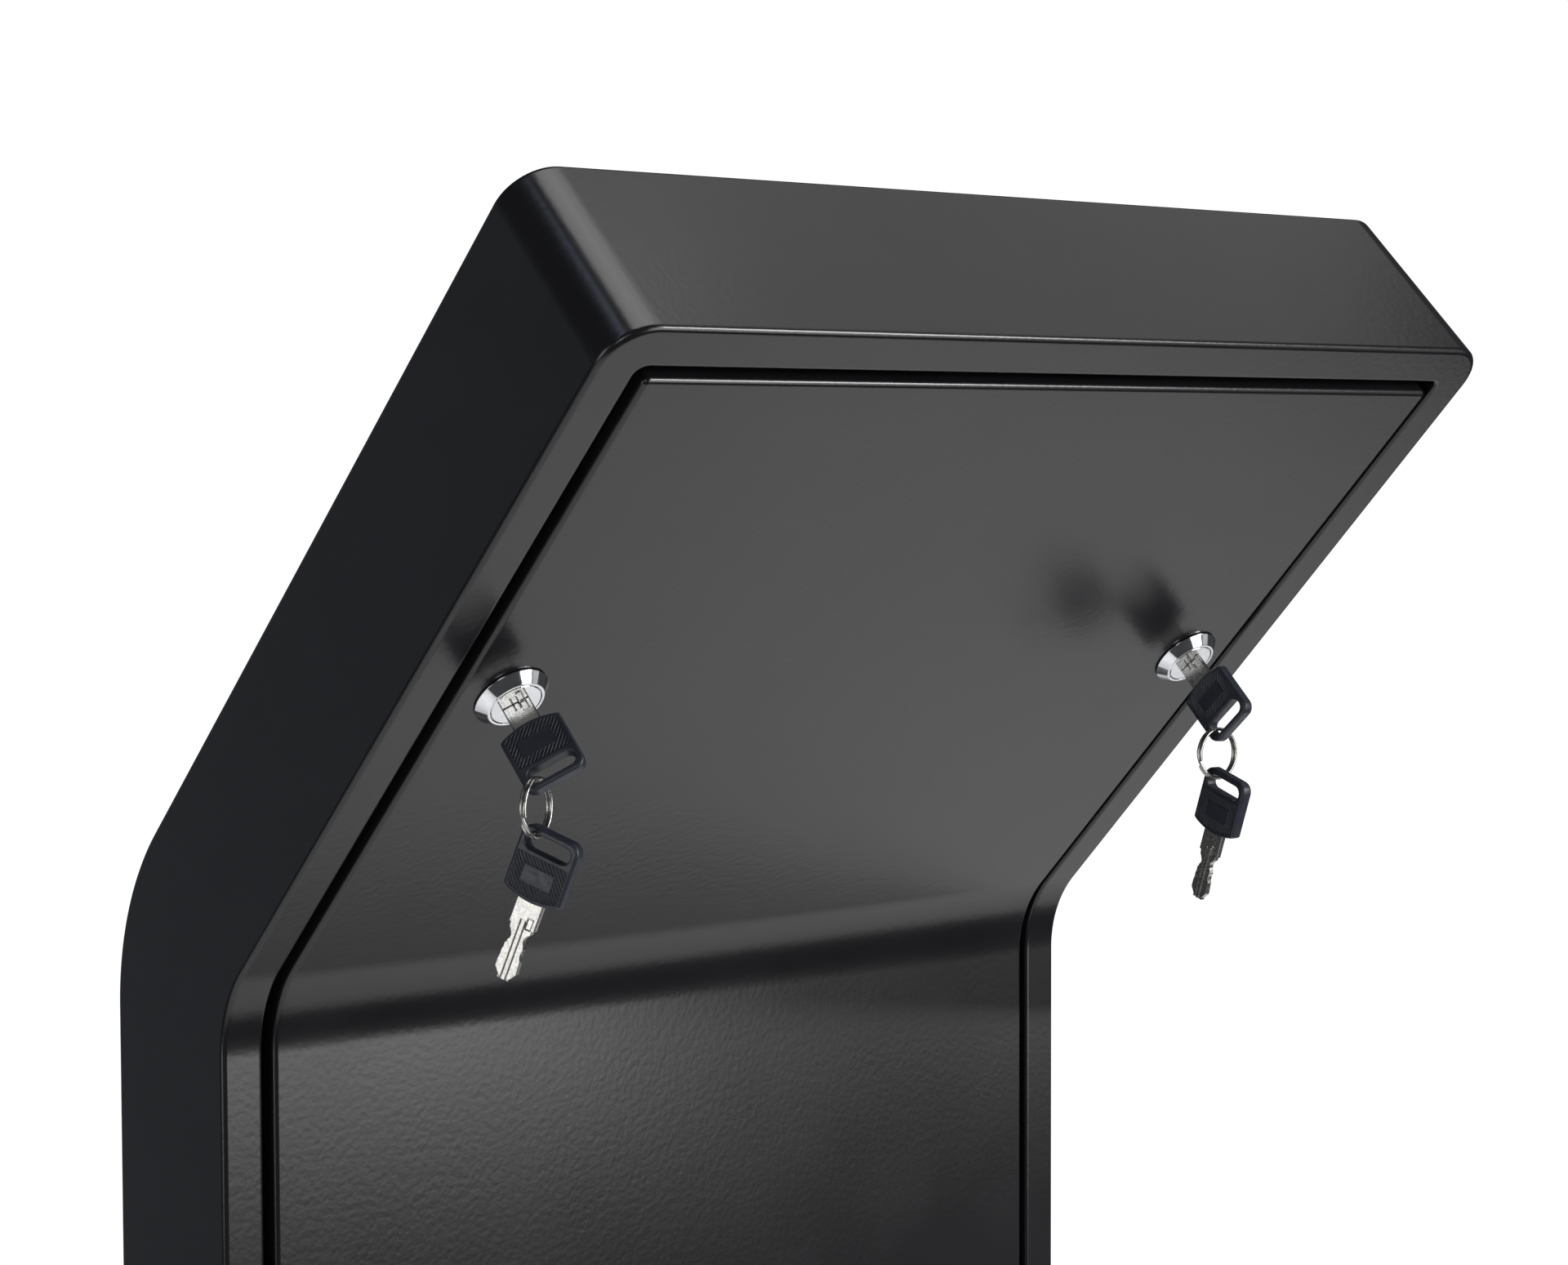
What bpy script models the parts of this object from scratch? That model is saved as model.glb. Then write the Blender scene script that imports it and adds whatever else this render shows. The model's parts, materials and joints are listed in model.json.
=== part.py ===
"""Wall mounted letter cabinet in black powder-coated sheet steel.

A flat-backed lower section bends forward into a head that leans 45 degrees out from the wall. One bent
door, hinged along its bottom edge, fills the whole front inside a narrow rim. It carries two cam locks,
each with a key in it and a spare key on a split ring. Letters go in through a flap on the upper side
of the head, where it faces up and back, and slide down into the lower section.

Metres, +Z up, +X to the right, the front towards -Y. The origin is on the wall face, in the middle of the
rear flange at the bottom edge. Places on the bent body are given as (x, station, depth): x across, station
along the front face, and depth back from the plane of the rim. A station below 0 is the height under the
bend, 0 to 1 is the share of the bend, and above 1 it is 1 plus the distance up the straight head.
"""

from math import atan2, cos, pi, radians, sin, sqrt, tan

import bmesh
import bpy
from mathutils import Euler, Matrix, Vector

# Overall sizes
WIDTH = 0.400
DEPTH = 0.072
LOWER_LENGTH = 0.260
HEAD_LENGTH = 0.300
LEAN = radians(45)
FRONT_BEND_RADIUS = 0.044
REAR_BEND_RADIUS = 0.090

# Casing
SHEET = 0.0015
FIT_GAP = 0.0003
CORNER_RADIUS = 0.0165
RIM_WIDTH = 0.016
OPENING_CORNER_RADIUS = 0.004
RIM_RETURN = 0.012
REAR_FLANGE = 0.012
FOLD_RADIUS = 0.002
RIM_FOLD_RADIUS = 0.0016

# Door
DOOR_GAP = 0.0038
DOOR_PROUD = 0.0012
DOOR_FOLD_RADIUS = 0.0019
DOOR_CORNER_RADIUS = 0.0025
DOOR_PAN_DEPTH = 0.008

# Door hinge
KNUCKLE_RADIUS = 0.003
KNUCKLE_BORE = 0.0015
HINGE_PIN_RADIUS = 0.0012
LEAF_SHEET = 0.0012
HINGE_LENGTH = 0.340
KNUCKLES = 5
KNUCKLE_END_GAP = 0.0006

# Locks, in distances from the lock's axis and from the plane of the rim
LOCK_INSET = 0.0216
LOCK_UP_HEAD = 0.140
BEZEL_RADIUS = 0.0131
BEZEL_FACE_RADIUS = 0.0101
BEZEL_HEIGHT = 0.0037
BEZEL_EDGE = 0.00044
BEZEL_CHAMFER = 0.00022
BARREL_RADIUS = 0.0095
BARREL_LENGTH = 0.0205
PLUG_FACE_RADIUS = 0.0089
PLUG_FACE_DEPTH = 0.0014
PLUG_RADIUS = 0.0062
LOCK_NUT_WALL = 0.0022
LOCK_NUT_HEIGHT = 0.005
CAM_LENGTH = 0.028
CAM_WIDTH = 0.012
CAM_SHEET = 0.002
SPIGOT_SIZE = 0.0065
CAM_SCREW_RADIUS = 0.0018
CAM_SCREW_HEAD_RADIUS = 0.0052
CAM_SCREW_HEAD = 0.0024
CAM_SCREW_LENGTH = 0.006
SCREW_CROWN_RADIUS = 0.8  # share of the head's radius
SCREW_CROWN_HEIGHT = 0.5  # share of the head's height
PLUG_CLEARANCE = 0.0003

# Keys
KEY_TURN = {"left": radians(41), "right": radians(84)}
CAM_OFFSET = {"left": radians(90), "right": 0.0}
BOW_WIDTH = 0.0215
BOW_SIDE = 0.0216
BOW_ARCH = 0.0024
BOW_THICKNESS = 0.005
BOW_CORNER_RADIUS = 0.004
BOW_SLOT_LENGTH = 0.0168
BOW_SLOT_HEIGHT = 0.0056
BOW_SLOT_BAR = 0.0022
BLADE_LENGTH = 0.027
BLADE_WIDTH = 0.0082
BLADE_SHOULDER_WIDTH = 0.0098
BLADE_SHOULDER_LENGTH = 0.0083
BLADE_THICKNESS = 0.002
BLADE_CUTS = 7
BLADE_DEEP_CUT = 0.16  # these three are shares of half the blade's width
BLADE_SHALLOW_CUT = 0.05
BLADE_POINT = 0.45
TANG_WIDTH = 0.0072
TANG_LENGTH = 0.006

# Split rings: the way each one faces is the turn of its loop from the front towards the left
RING_RADIUS = 0.010
RING_WIRE = 0.0013
RING_TURNS_WIDTH = 0.0026
RING_FACING = {"left": radians(63), "right": radians(92)}
RING_PLAY = 0.0008
RING_FORWARD = 0.0014
SPARE_TILT = {"left": radians(22), "right": radians(19)}

# Keepers and buffers for the closed door
KEEPER_REACH = 0.012
KEEPER_LOW = 0.0145
KEEPER_HIGH = 0.0055
KEEPER_LEG = 0.014
CAM_RUNNING_GAP = 0.0006
BUFFER_RADIUS = 0.0044
BUFFER_CHAMFER = 0.0018

# Letter slot in the rear of the head, and its flap
SLOT_WIDTH = 0.330
SLOT_HEIGHT = 0.034
SLOT_BELOW_TOP = 0.041
FLAP_OVERLAP = 0.008
FLAP_LIP = 0.006
FLAP_KNUCKLE_RADIUS = 0.0026
FLAP_KNUCKLE_BORE = 0.0016
FLAP_PIN_RADIUS = 0.0013
FLAP_EAR_THICKNESS = 0.003
FLAP_EAR_BASE = 0.012
FLAP_EAR_WALL = 0.0005

# Inside and fixings
RETAINER_HEIGHT = 0.060
RETAINER_DEPTH = 0.020
RETAINER_FOOT = 0.018
WALL_HOLE_RADIUS = 0.0032
WALL_HOLE_SPREAD = 0.130
WALL_HOLE_FROM_BOTTOM = 0.055
WALL_HOLE_FROM_BEND = 0.045
PANEL_SCREW_RADIUS = 0.0018
PANEL_SCREW_HEAD_RADIUS = 0.0036
PANEL_SCREW_HEAD = 0.002
PANEL_SCREW_END_MARGIN = 0.055

# Smoothness
CORNER_STEPS = 5
BEND_STEPS = 10
FOLD_STEPS = 3
ROUND_STEPS = 32
SMALL_ROUND_STEPS = 16
HOLE_STEPS = 12
RING_STEPS = 28
RING_WIRE_STEPS = 8

# Worked out from the sizes above
REAR_FLANGE_MIDDLE = (FOLD_RADIUS + REAR_FLANGE) / 2
BOTTOM = -REAR_FLANGE_MIDDLE
BEND_START = BOTTOM + LOWER_LENGTH
HINGE_GAP = 2 * (KNUCKLE_RADIUS + FIT_GAP)
HINGE_HEIGHT = BOTTOM + RIM_WIDTH + HINGE_GAP / 2
HINGE_DEPTH = KNUCKLE_RADIUS - DOOR_PROUD
DOOR_HALF_WIDTH = WIDTH / 2 - RIM_WIDTH - DOOR_GAP
LOCK_X = DOOR_HALF_WIDTH - LOCK_INSET
LOCK_NUT_FLATS = 2 * (BARREL_RADIUS + FIT_GAP + LOCK_NUT_WALL)
DOOR_BACK = SHEET - DOOR_PROUD
BEZEL_FACE = DOOR_PROUD + FIT_GAP + BEZEL_HEIGHT
CAM_FRONT = BARREL_LENGTH + FIT_GAP + CAM_RUNNING_GAP
PANEL_BACK = DEPTH - SHEET - FIT_GAP
PANEL_FRONT = PANEL_BACK - SHEET
BOW_LENGTH = BOW_SIDE + BOW_ARCH
BOW_SLOT_CENTRE = BOW_LENGTH - BOW_SLOT_BAR - BOW_SLOT_HEIGHT / 2
KEY_STAND_OFF = BEZEL_FACE + FIT_GAP + BLADE_SHOULDER_LENGTH
SIDES = {"left": -1, "right": 1}
HEAD_TILT = Euler((radians(90) + LEAN, 0, 0))
HEAD_REAR_TILT = Euler((radians(90) - LEAN, 0, pi))
UP = Vector((0, 0, 1))


# Materials


def make_material(name, colour, roughness, metallic):
    material = bpy.data.materials.new(name)
    material.use_nodes = True
    shader = material.node_tree.nodes["Principled BSDF"]
    shader.inputs["Base Color"].default_value = (*colour, 1)
    shader.inputs["Roughness"].default_value = roughness
    shader.inputs["Metallic"].default_value = metallic
    return material


# Geometry of the bent body


def bend_radius(depth):
    """Inner side of the bend at the front, outer side at the back, in proportion between."""
    return FRONT_BEND_RADIUS + (REAR_BEND_RADIUS - FRONT_BEND_RADIUS) * depth / DEPTH


def bend_lead(depth):
    """How much later than at the rim the bend starts, so that the straight parts stay parallel."""
    return (FRONT_BEND_RADIUS + depth - bend_radius(depth)) * tan(LEAN / 2)


def head_point(x, along, depth):
    """A point on the straight head, from its distance along it and its depth behind the rim."""
    y = -DEPTH - FRONT_BEND_RADIUS * (1 - cos(LEAN)) - along * sin(LEAN) + depth * cos(LEAN)
    z = BEND_START + FRONT_BEND_RADIUS * sin(LEAN) + along * cos(LEAN) + depth * sin(LEAN)
    return Vector((x, y, z))


def body_point(x, station, depth):
    if station > 1:
        return head_point(x, station - 1, depth)
    if station < 0:
        return Vector((x, depth - DEPTH, BEND_START + station))
    radius = bend_radius(depth)
    turn = station * LEAN
    y = depth - DEPTH - radius * (1 - cos(turn))
    z = BEND_START + bend_lead(depth) + radius * sin(turn)
    return Vector((x, y, z))


def arc(centre, radius, start, end, steps):
    """Points on an arc, both ends included."""
    turns = [start + (end - start) * i / steps for i in range(steps + 1)]
    return [(centre[0] + radius * cos(a), centre[1] + radius * sin(a)) for a in turns]


def circle(radius, steps, start=0):
    """The corners of a regular polygon, for a round or a hexagonal outline."""
    return arc((0, 0), radius, start, start + 2 * pi * (steps - 1) / steps, steps - 1)


def outline_half(half_width, low, high, radius):
    """The right half of a rounded rectangle wrapped over the bend, as (x, station), bottom to top."""
    x = half_width - radius
    start = -LOWER_LENGTH + low + radius
    end = 1 + HEAD_LENGTH - high - radius
    lower = arc((x, start), radius, -pi / 2, 0, CORNER_STEPS)
    bend = [(half_width, i / BEND_STEPS) for i in range(BEND_STEPS + 1)]
    upper = arc((x, end), radius, 0, pi / 2, CORNER_STEPS)
    return lower + bend + upper


def ring_of(half_width, low, high, radius, depth):
    """One closed ring of points round the body: up its right side and down its left."""
    half = outline_half(half_width, low, high, radius)
    right = [body_point(x, station, depth) for x, station in half]
    left = [body_point(-x, station, depth) for x, station in reversed(half)]
    return right + left


# Mesh tools


def make_object(name, points, faces, material, smooth_angle=None):
    """A mesh object from points and faces, with its faces turned outwards."""
    mesh = bpy.data.meshes.new(name)
    mesh.from_pydata([tuple(p) for p in points], [], faces)
    shape = bmesh.new()
    shape.from_mesh(mesh)
    bmesh.ops.recalc_face_normals(shape, faces=shape.faces)
    shape.to_mesh(mesh)
    shape.free()
    if smooth_angle is not None:
        mesh.shade_smooth()
        mesh.set_sharp_from_angle(angle=smooth_angle)
    obj = bpy.data.objects.new(name, mesh)
    bpy.context.scene.collection.objects.link(obj)
    if material is not None:
        mesh.materials.append(material)
    return obj


def place(obj, location=(0, 0, 0), rotation=None, parent=None):
    obj.location = location
    if rotation is not None:
        obj.rotation_euler = rotation
    obj.parent = parent
    return obj


def make_empty(name, location, rotation=None, parent=None):
    obj = bpy.data.objects.new(name, None)
    bpy.context.scene.collection.objects.link(obj)
    obj.empty_display_size = 0.02
    return place(obj, location, rotation, parent)


def axes_rotation(x_axis, z_axis):
    """The rotation whose local X and Z are these two perpendicular directions."""
    y_axis = z_axis.cross(x_axis)
    return Matrix((x_axis, y_axis, z_axis)).transposed().to_euler()


def ring_faces(rings, closed):
    """Quads between neighbouring rings, and between the last and the first where closed."""
    count = len(rings[0])
    pairs = [(k, k + 1) for k in range(len(rings) - 1)]
    if closed:
        pairs.append((len(rings) - 1, 0))
    faces = []
    for a, b in pairs:
        for i in range(count):
            j = (i + 1) % count
            faces.append((a * count + i, a * count + j, b * count + j, b * count + i))
    return faces


def strip_faces(first, count):
    """A cap for one ring: quads between each point on its right half and the mirrored one."""
    return [
        (first + i, first + i + 1, first + count - 2 - i, first + count - 1 - i)
        for i in range(count // 2 - 1)
    ]


def make_bent_plate(name, rings, material, closed=False):
    """A piece of the bent body from rings, capped at both ends unless the rings close on themselves."""
    count = len(rings[0])
    faces = ring_faces(rings, closed)
    if not closed:
        faces += strip_faces(0, count)
        faces += strip_faces((len(rings) - 1) * count, count)
    points = [point for ring in rings for point in ring]
    return make_object(name, points, faces, material, smooth_angle=radians(35))


def make_turned(name, profile, steps, material, tube=False):
    """A profile of (radius, height) turned about local Z. A tube's profile closes on itself."""
    points = []
    for radius, height in profile:
        for i in range(steps):
            turn = 2 * pi * i / steps
            points.append((radius * cos(turn), radius * sin(turn), height))
    rings = [points[k * steps:(k + 1) * steps] for k in range(len(profile))]
    faces = ring_faces(rings, tube)
    if not tube:
        faces.append(tuple(range(steps)))
        faces.append(tuple(range(len(points) - steps, len(points))))
    return make_object(name, points, faces, material, smooth_angle=radians(35))


def make_prism(name, outline, low, high, material, along="z", smooth_angle=None):
    """An outline extruded from low to high along a local axis. It lies in the other two, in order."""
    to_point = {
        "x": lambda a, b, h: (h, a, b),
        "y": lambda a, b, h: (a, h, b),
        "z": lambda a, b, h: (a, b, h),
    }[along]
    points = [to_point(a, b, h) for h in (low, high) for a, b in outline]
    count = len(outline)
    faces = ring_faces([points[:count], points[count:]], False)
    faces.append(tuple(range(count)))
    faces.append(tuple(range(count, 2 * count)))
    return make_object(name, points, faces, material, smooth_angle=smooth_angle)


def rectangle(low_a, high_a, low_b, high_b):
    return [(low_a, low_b), (high_a, low_b), (high_a, high_b), (low_a, high_b)]


def combine(obj, others, operation):
    """Boolean modifiers with helper objects that are hidden from renders."""
    for other in others:
        other.hide_render = True
        other.display_type = "WIRE"
        modifier = obj.modifiers.new(operation.lower(), "BOOLEAN")
        modifier.operation = operation
        modifier.solver = "EXACT"
        modifier.object = other


# Casing


def make_casing(coat):
    """The welded shell: rim with its return, outer walls, and the flange behind, in one hooked section."""

    def ring(inset, depth):
        share = inset / RIM_WIDTH
        radius = CORNER_RADIUS + (OPENING_CORNER_RADIUS - CORNER_RADIUS) * share
        return ring_of(WIDTH / 2 - inset, inset, inset, radius, depth)

    section = arc((FOLD_RADIUS, FOLD_RADIUS), FOLD_RADIUS, pi, 1.5 * pi, FOLD_STEPS)
    rim_centre = (RIM_WIDTH - RIM_FOLD_RADIUS, RIM_FOLD_RADIUS)
    section += arc(rim_centre, RIM_FOLD_RADIUS, 1.5 * pi, 2 * pi, FOLD_STEPS)
    section += [
        (RIM_WIDTH, RIM_RETURN),
        (RIM_WIDTH - SHEET, RIM_RETURN),
        (RIM_WIDTH - SHEET, SHEET),
        (SHEET, SHEET),
        (SHEET, DEPTH - SHEET),
        (REAR_FLANGE, DEPTH - SHEET),
        (REAR_FLANGE, DEPTH),
    ]
    section += arc((FOLD_RADIUS, DEPTH - FOLD_RADIUS), FOLD_RADIUS, pi / 2, pi, FOLD_STEPS)
    rings = [ring(inset, depth) for inset, depth in section]
    return make_bent_plate("casing_shell", rings, coat, closed=True)


def make_rear_panel(coat):
    inset = SHEET + FIT_GAP
    radius = CORNER_RADIUS
    rings = [
        ring_of(WIDTH / 2 - inset, inset, inset, radius, depth)
        for depth in (PANEL_FRONT, PANEL_BACK)
    ]
    panel = make_bent_plate("rear_panel", rings, coat)
    slot = make_prism(
        "slot_cutter",
        rectangle(-SLOT_WIDTH / 2, SLOT_WIDTH / 2, -SLOT_HEIGHT, 0),
        -2 * (DEPTH - PANEL_FRONT),
        0,
        None,
    )
    place(slot, head_point(0, HEAD_LENGTH - SLOT_BELOW_TOP, DEPTH), HEAD_REAR_TILT)
    holes = []
    for name, height in (
        ("low", BOTTOM + WALL_HOLE_FROM_BOTTOM),
        ("high", BEND_START - WALL_HOLE_FROM_BEND),
    ):
        for side, sign in SIDES.items():
            hole = make_prism(
                f"wall_hole_{name}_{side}",
                circle(WALL_HOLE_RADIUS, SMALL_ROUND_STEPS),
                -DEPTH,
                0,
                None,
                along="y",
            )
            holes.append(place(hole, (sign * WALL_HOLE_SPREAD, 0, height)))
    combine(panel, [slot, *holes], "DIFFERENCE")
    return panel


def panel_screw_places():
    """The place and tilt of each screw through the rear flange, from the inside outwards."""
    x = WIDTH / 2 - REAR_FLANGE_MIDDLE
    upright = Euler((-radians(90), 0, 0))
    lead = bend_lead(DEPTH)
    lower = (BOTTOM + PANEL_SCREW_END_MARGIN, BEND_START - PANEL_SCREW_END_MARGIN)
    upper = (lead + PANEL_SCREW_END_MARGIN, HEAD_LENGTH - PANEL_SCREW_END_MARGIN)
    for side, sign in SIDES.items():
        for number, height in enumerate(lower, start=1):
            yield f"{side}_{number}", Vector((sign * x, 0, height)), upright
        for number, along in enumerate(upper, start=3):
            yield f"{side}_{number}", head_point(sign * x, along, DEPTH), HEAD_REAR_TILT


def make_panel_screws(casing, panel, steel):
    """Pan-head screws whose heads are inside the casing; their ends stop short of the flange's face."""
    under_head = -(DEPTH - PANEL_FRONT) - FIT_GAP
    profile = [
        (PANEL_SCREW_HEAD_RADIUS * SCREW_CROWN_RADIUS, under_head - PANEL_SCREW_HEAD),
        (PANEL_SCREW_HEAD_RADIUS, under_head - PANEL_SCREW_HEAD * SCREW_CROWN_HEIGHT),
        (PANEL_SCREW_HEAD_RADIUS, under_head),
        (PANEL_SCREW_RADIUS, under_head),
        (PANEL_SCREW_RADIUS, -FIT_GAP),
    ]
    hole_outline = circle(PANEL_SCREW_RADIUS + FIT_GAP, HOLE_STEPS)
    for label, location, rotation in panel_screw_places():
        screw = make_turned(f"panel_screw_{label}", profile, HOLE_STEPS, steel)
        place(screw, location, rotation)
        hole = make_prism(f"hole_{label}", hole_outline, -3 * SHEET - 2 * FIT_GAP, SHEET, None)
        place(hole, location, rotation)
        combine(casing, [hole], "DIFFERENCE")
        combine(panel, [hole], "DIFFERENCE")


def make_retainer(coat):
    """An angle across the bottom, behind the door, that keeps the letters in when the door is down."""
    half = WIDTH / 2 - RIM_WIDTH - FIT_GAP
    floor = BOTTOM + SHEET + FIT_GAP
    front = RETAINER_DEPTH - DEPTH
    outline = [
        (front, floor),
        (front + RETAINER_FOOT, floor),
        (front + RETAINER_FOOT, floor + SHEET),
        (front + SHEET, floor + SHEET),
        (front + SHEET, floor + RETAINER_HEIGHT),
        (front, floor + RETAINER_HEIGHT),
    ]
    return make_prism("letter_retainer", outline, -half, half, coat, along="x")


# Door and its hinge


def make_door(coat, hinge):
    """The bent pan: a front face with folded edges, hollow behind. Its origin is on the hinge's axis."""
    low = RIM_WIDTH + HINGE_GAP
    high = RIM_WIDTH + DOOR_GAP

    def ring(inset, depth):
        radius = max(DOOR_CORNER_RADIUS - inset, DOOR_CORNER_RADIUS / 4)
        return ring_of(DOOR_HALF_WIDTH - inset, low + inset, high + inset, radius, depth)

    fold_centre = (DOOR_FOLD_RADIUS, DOOR_FOLD_RADIUS - DOOR_PROUD)
    section = arc(fold_centre, DOOR_FOLD_RADIUS, 1.5 * pi, pi, FOLD_STEPS)
    section += [(0, DOOR_PAN_DEPTH), (SHEET, DOOR_PAN_DEPTH), (SHEET, DOOR_BACK)]
    rings = [ring(inset, depth) for inset, depth in section]
    axis = Vector((0, HINGE_DEPTH - DEPTH, HINGE_HEIGHT))
    rings = [[point - axis for point in each] for each in rings]
    door = make_bent_plate("door_panel", rings, coat)
    place(door, parent=hinge)
    return door


def make_lock_holes(door):
    outline = circle(BARREL_RADIUS + FIT_GAP, ROUND_STEPS)
    for side, sign in SIDES.items():
        hole = make_prism(f"lock_hole_{side}", outline, -SHEET, 2 * SHEET, None)
        place(hole, head_point(sign * LOCK_X, LOCK_UP_HEAD, 0), HEAD_TILT)
        combine(door, [hole], "DIFFERENCE")


def make_leaf(name, reach, flip, knuckle_spans, steel, hinge):
    """A hinge leaf: a plate running back from its knuckles, above the pin (flip 1) or below it (-1)."""
    clear = KNUCKLE_RADIUS + FIT_GAP
    tongue = clear + LEAF_SHEET
    level = KNUCKLE_RADIUS - LEAF_SHEET
    rise = atan2(level, sqrt(KNUCKLE_RADIUS**2 - level**2))
    knuckle = arc((0, 0), KNUCKLE_RADIUS, -rise, 1.5 * pi, SMALL_ROUND_STEPS)
    knuckle += [(tongue, -KNUCKLE_RADIUS), (tongue, -level)]
    knuckle = [(a, -flip * b) for a, b in knuckle]
    plate = [(a, -flip * b) for a, b in rectangle(clear, reach, -KNUCKLE_RADIUS, -level)]
    bore_outline = circle(KNUCKLE_BORE, HOLE_STEPS)
    half = HINGE_LENGTH / 2
    leaf = make_prism(name, plate, -half, half, steel, along="x")
    knuckles = [
        make_prism(f"{name}_knuckle_{k}", knuckle, start, end, None, along="x")
        for k, (start, end) in enumerate(knuckle_spans)
    ]
    bore = make_prism(f"{name}_bore", bore_outline, -HINGE_LENGTH, HINGE_LENGTH, None, along="x")
    for obj in (leaf, *knuckles, bore):
        place(obj, parent=hinge)
    combine(leaf, knuckles, "UNION")
    combine(leaf, [bore], "DIFFERENCE")


def make_hinge(steel, hinge):
    """Two leaves with alternating knuckles and one pin, along the door's bottom edge."""
    pitch = HINGE_LENGTH / KNUCKLES
    spans = [
        (-HINGE_LENGTH / 2 + k * pitch + KNUCKLE_END_GAP / 2,
         -HINGE_LENGTH / 2 + (k + 1) * pitch - KNUCKLE_END_GAP / 2)
        for k in range(KNUCKLES)
    ]
    casing_reach = RIM_RETURN - HINGE_DEPTH
    door_reach = DOOR_PAN_DEPTH - HINGE_DEPTH
    make_leaf("hinge_leaf_casing", casing_reach, -1, spans[0::2], steel, hinge)
    make_leaf("hinge_leaf_door", door_reach, 1, spans[1::2], steel, hinge)
    outline = circle(HINGE_PIN_RADIUS, HOLE_STEPS)
    half = HINGE_LENGTH / 2
    pin = make_prism("hinge_pin", outline, -half, half, steel, along="x")
    place(pin, parent=hinge)


# Locks


def make_lock(side, chrome, steel, frame, plug_frame):
    """Housing and nut on the door; plug, cam and its screw on the plug's own axis."""
    face = BEZEL_FACE
    base = DOOR_PROUD + FIT_GAP
    bore = PLUG_RADIUS + PLUG_CLEARANCE
    recess = PLUG_FACE_RADIUS + PLUG_CLEARANCE
    housing_profile = [
        (BARREL_RADIUS, -BARREL_LENGTH),
        (BARREL_RADIUS, base),
        (BEZEL_RADIUS, base),
        (BEZEL_RADIUS, base + BEZEL_EDGE),
        (BEZEL_FACE_RADIUS + BEZEL_CHAMFER, face - BEZEL_CHAMFER),
        (BEZEL_FACE_RADIUS, face),
        (recess, face),
        (recess, face - PLUG_FACE_DEPTH - PLUG_CLEARANCE),
        (bore, face - PLUG_FACE_DEPTH - PLUG_CLEARANCE),
        (bore, -BARREL_LENGTH),
    ]
    housing = make_turned(f"lock_housing_{side}", housing_profile, ROUND_STEPS, chrome, tube=True)
    place(housing, parent=frame)

    nut_top = -DOOR_BACK - FIT_GAP
    nut_outline = circle(LOCK_NUT_FLATS / sqrt(3), 6, start=pi / 6)
    nut = make_prism(f"lock_nut_{side}", nut_outline, nut_top - LOCK_NUT_HEIGHT, nut_top, steel)
    nut_hole = make_prism(
        f"nut_hole_{side}",
        circle(BARREL_RADIUS + FIT_GAP, ROUND_STEPS),
        -BARREL_LENGTH,
        SHEET,
        None,
    )
    place(nut, parent=frame)
    place(nut_hole, parent=frame)
    combine(nut, [nut_hole], "DIFFERENCE")

    plug_end = -BARREL_LENGTH - FIT_GAP
    plug_profile = [
        (PLUG_RADIUS, plug_end),
        (PLUG_RADIUS, face - PLUG_FACE_DEPTH),
        (PLUG_FACE_RADIUS, face - PLUG_FACE_DEPTH),
        (PLUG_FACE_RADIUS, face),
    ]
    plug = make_turned(f"lock_plug_{side}", plug_profile, ROUND_STEPS, chrome)
    half = SPIGOT_SIZE / 2
    cam_back = -CAM_FRONT - CAM_SHEET
    spigot = make_prism(
        f"spigot_{side}", rectangle(-half, half, -half, half), cam_back, plug_end + SHEET, None
    )
    keyway_x = BLADE_WIDTH / 2 + PLUG_CLEARANCE
    keyway_y = BLADE_THICKNESS / 2 + PLUG_CLEARANCE
    key_tip = KEY_STAND_OFF - BLADE_LENGTH
    keyway = make_prism(
        f"keyway_{side}",
        rectangle(-keyway_x, keyway_x, -keyway_y, keyway_y),
        key_tip - 2 * PLUG_CLEARANCE,
        face + SHEET,
        None,
    )
    screw_hole = make_prism(
        f"cam_screw_hole_{side}",
        circle(CAM_SCREW_RADIUS + PLUG_CLEARANCE, HOLE_STEPS),
        cam_back - SHEET,
        cam_back + CAM_SCREW_LENGTH + PLUG_CLEARANCE - FIT_GAP,
        None,
    )
    for obj in (plug, spigot, keyway, screw_hole):
        place(obj, parent=plug_frame)
    combine(plug, [spigot], "UNION")
    combine(plug, [keyway, screw_hole], "DIFFERENCE")

    end = CAM_LENGTH - CAM_WIDTH / 2
    cam_outline = arc((0, 0), CAM_WIDTH / 2, pi / 2, 1.5 * pi, 8)
    cam_outline += arc((end, 0), CAM_WIDTH / 2, -pi / 2, pi / 2, 8)
    cam = make_prism(f"lock_cam_{side}", cam_outline, cam_back + FIT_GAP, -CAM_FRONT, steel)
    cam_half = half + PLUG_CLEARANCE
    cam_hole = make_prism(
        f"cam_hole_{side}",
        rectangle(-cam_half, cam_half, -cam_half, cam_half),
        cam_back - SHEET,
        SHEET - CAM_FRONT,
        None,
    )
    cam_turn = Euler((0, 0, CAM_OFFSET[side]))
    place(cam, rotation=cam_turn, parent=plug_frame)
    place(cam_hole, rotation=cam_turn, parent=plug_frame)
    combine(cam, [cam_hole], "DIFFERENCE")

    under_head = cam_back - FIT_GAP
    screw_profile = [
        (CAM_SCREW_HEAD_RADIUS * SCREW_CROWN_RADIUS, under_head - CAM_SCREW_HEAD),
        (CAM_SCREW_HEAD_RADIUS, under_head - CAM_SCREW_HEAD * SCREW_CROWN_HEIGHT),
        (CAM_SCREW_HEAD_RADIUS, under_head),
        (CAM_SCREW_RADIUS, under_head),
        (CAM_SCREW_RADIUS, under_head + CAM_SCREW_LENGTH),
    ]
    screw = make_turned(f"cam_screw_{side}", screw_profile, SMALL_ROUND_STEPS, steel)
    place(screw, parent=plug_frame)


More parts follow.
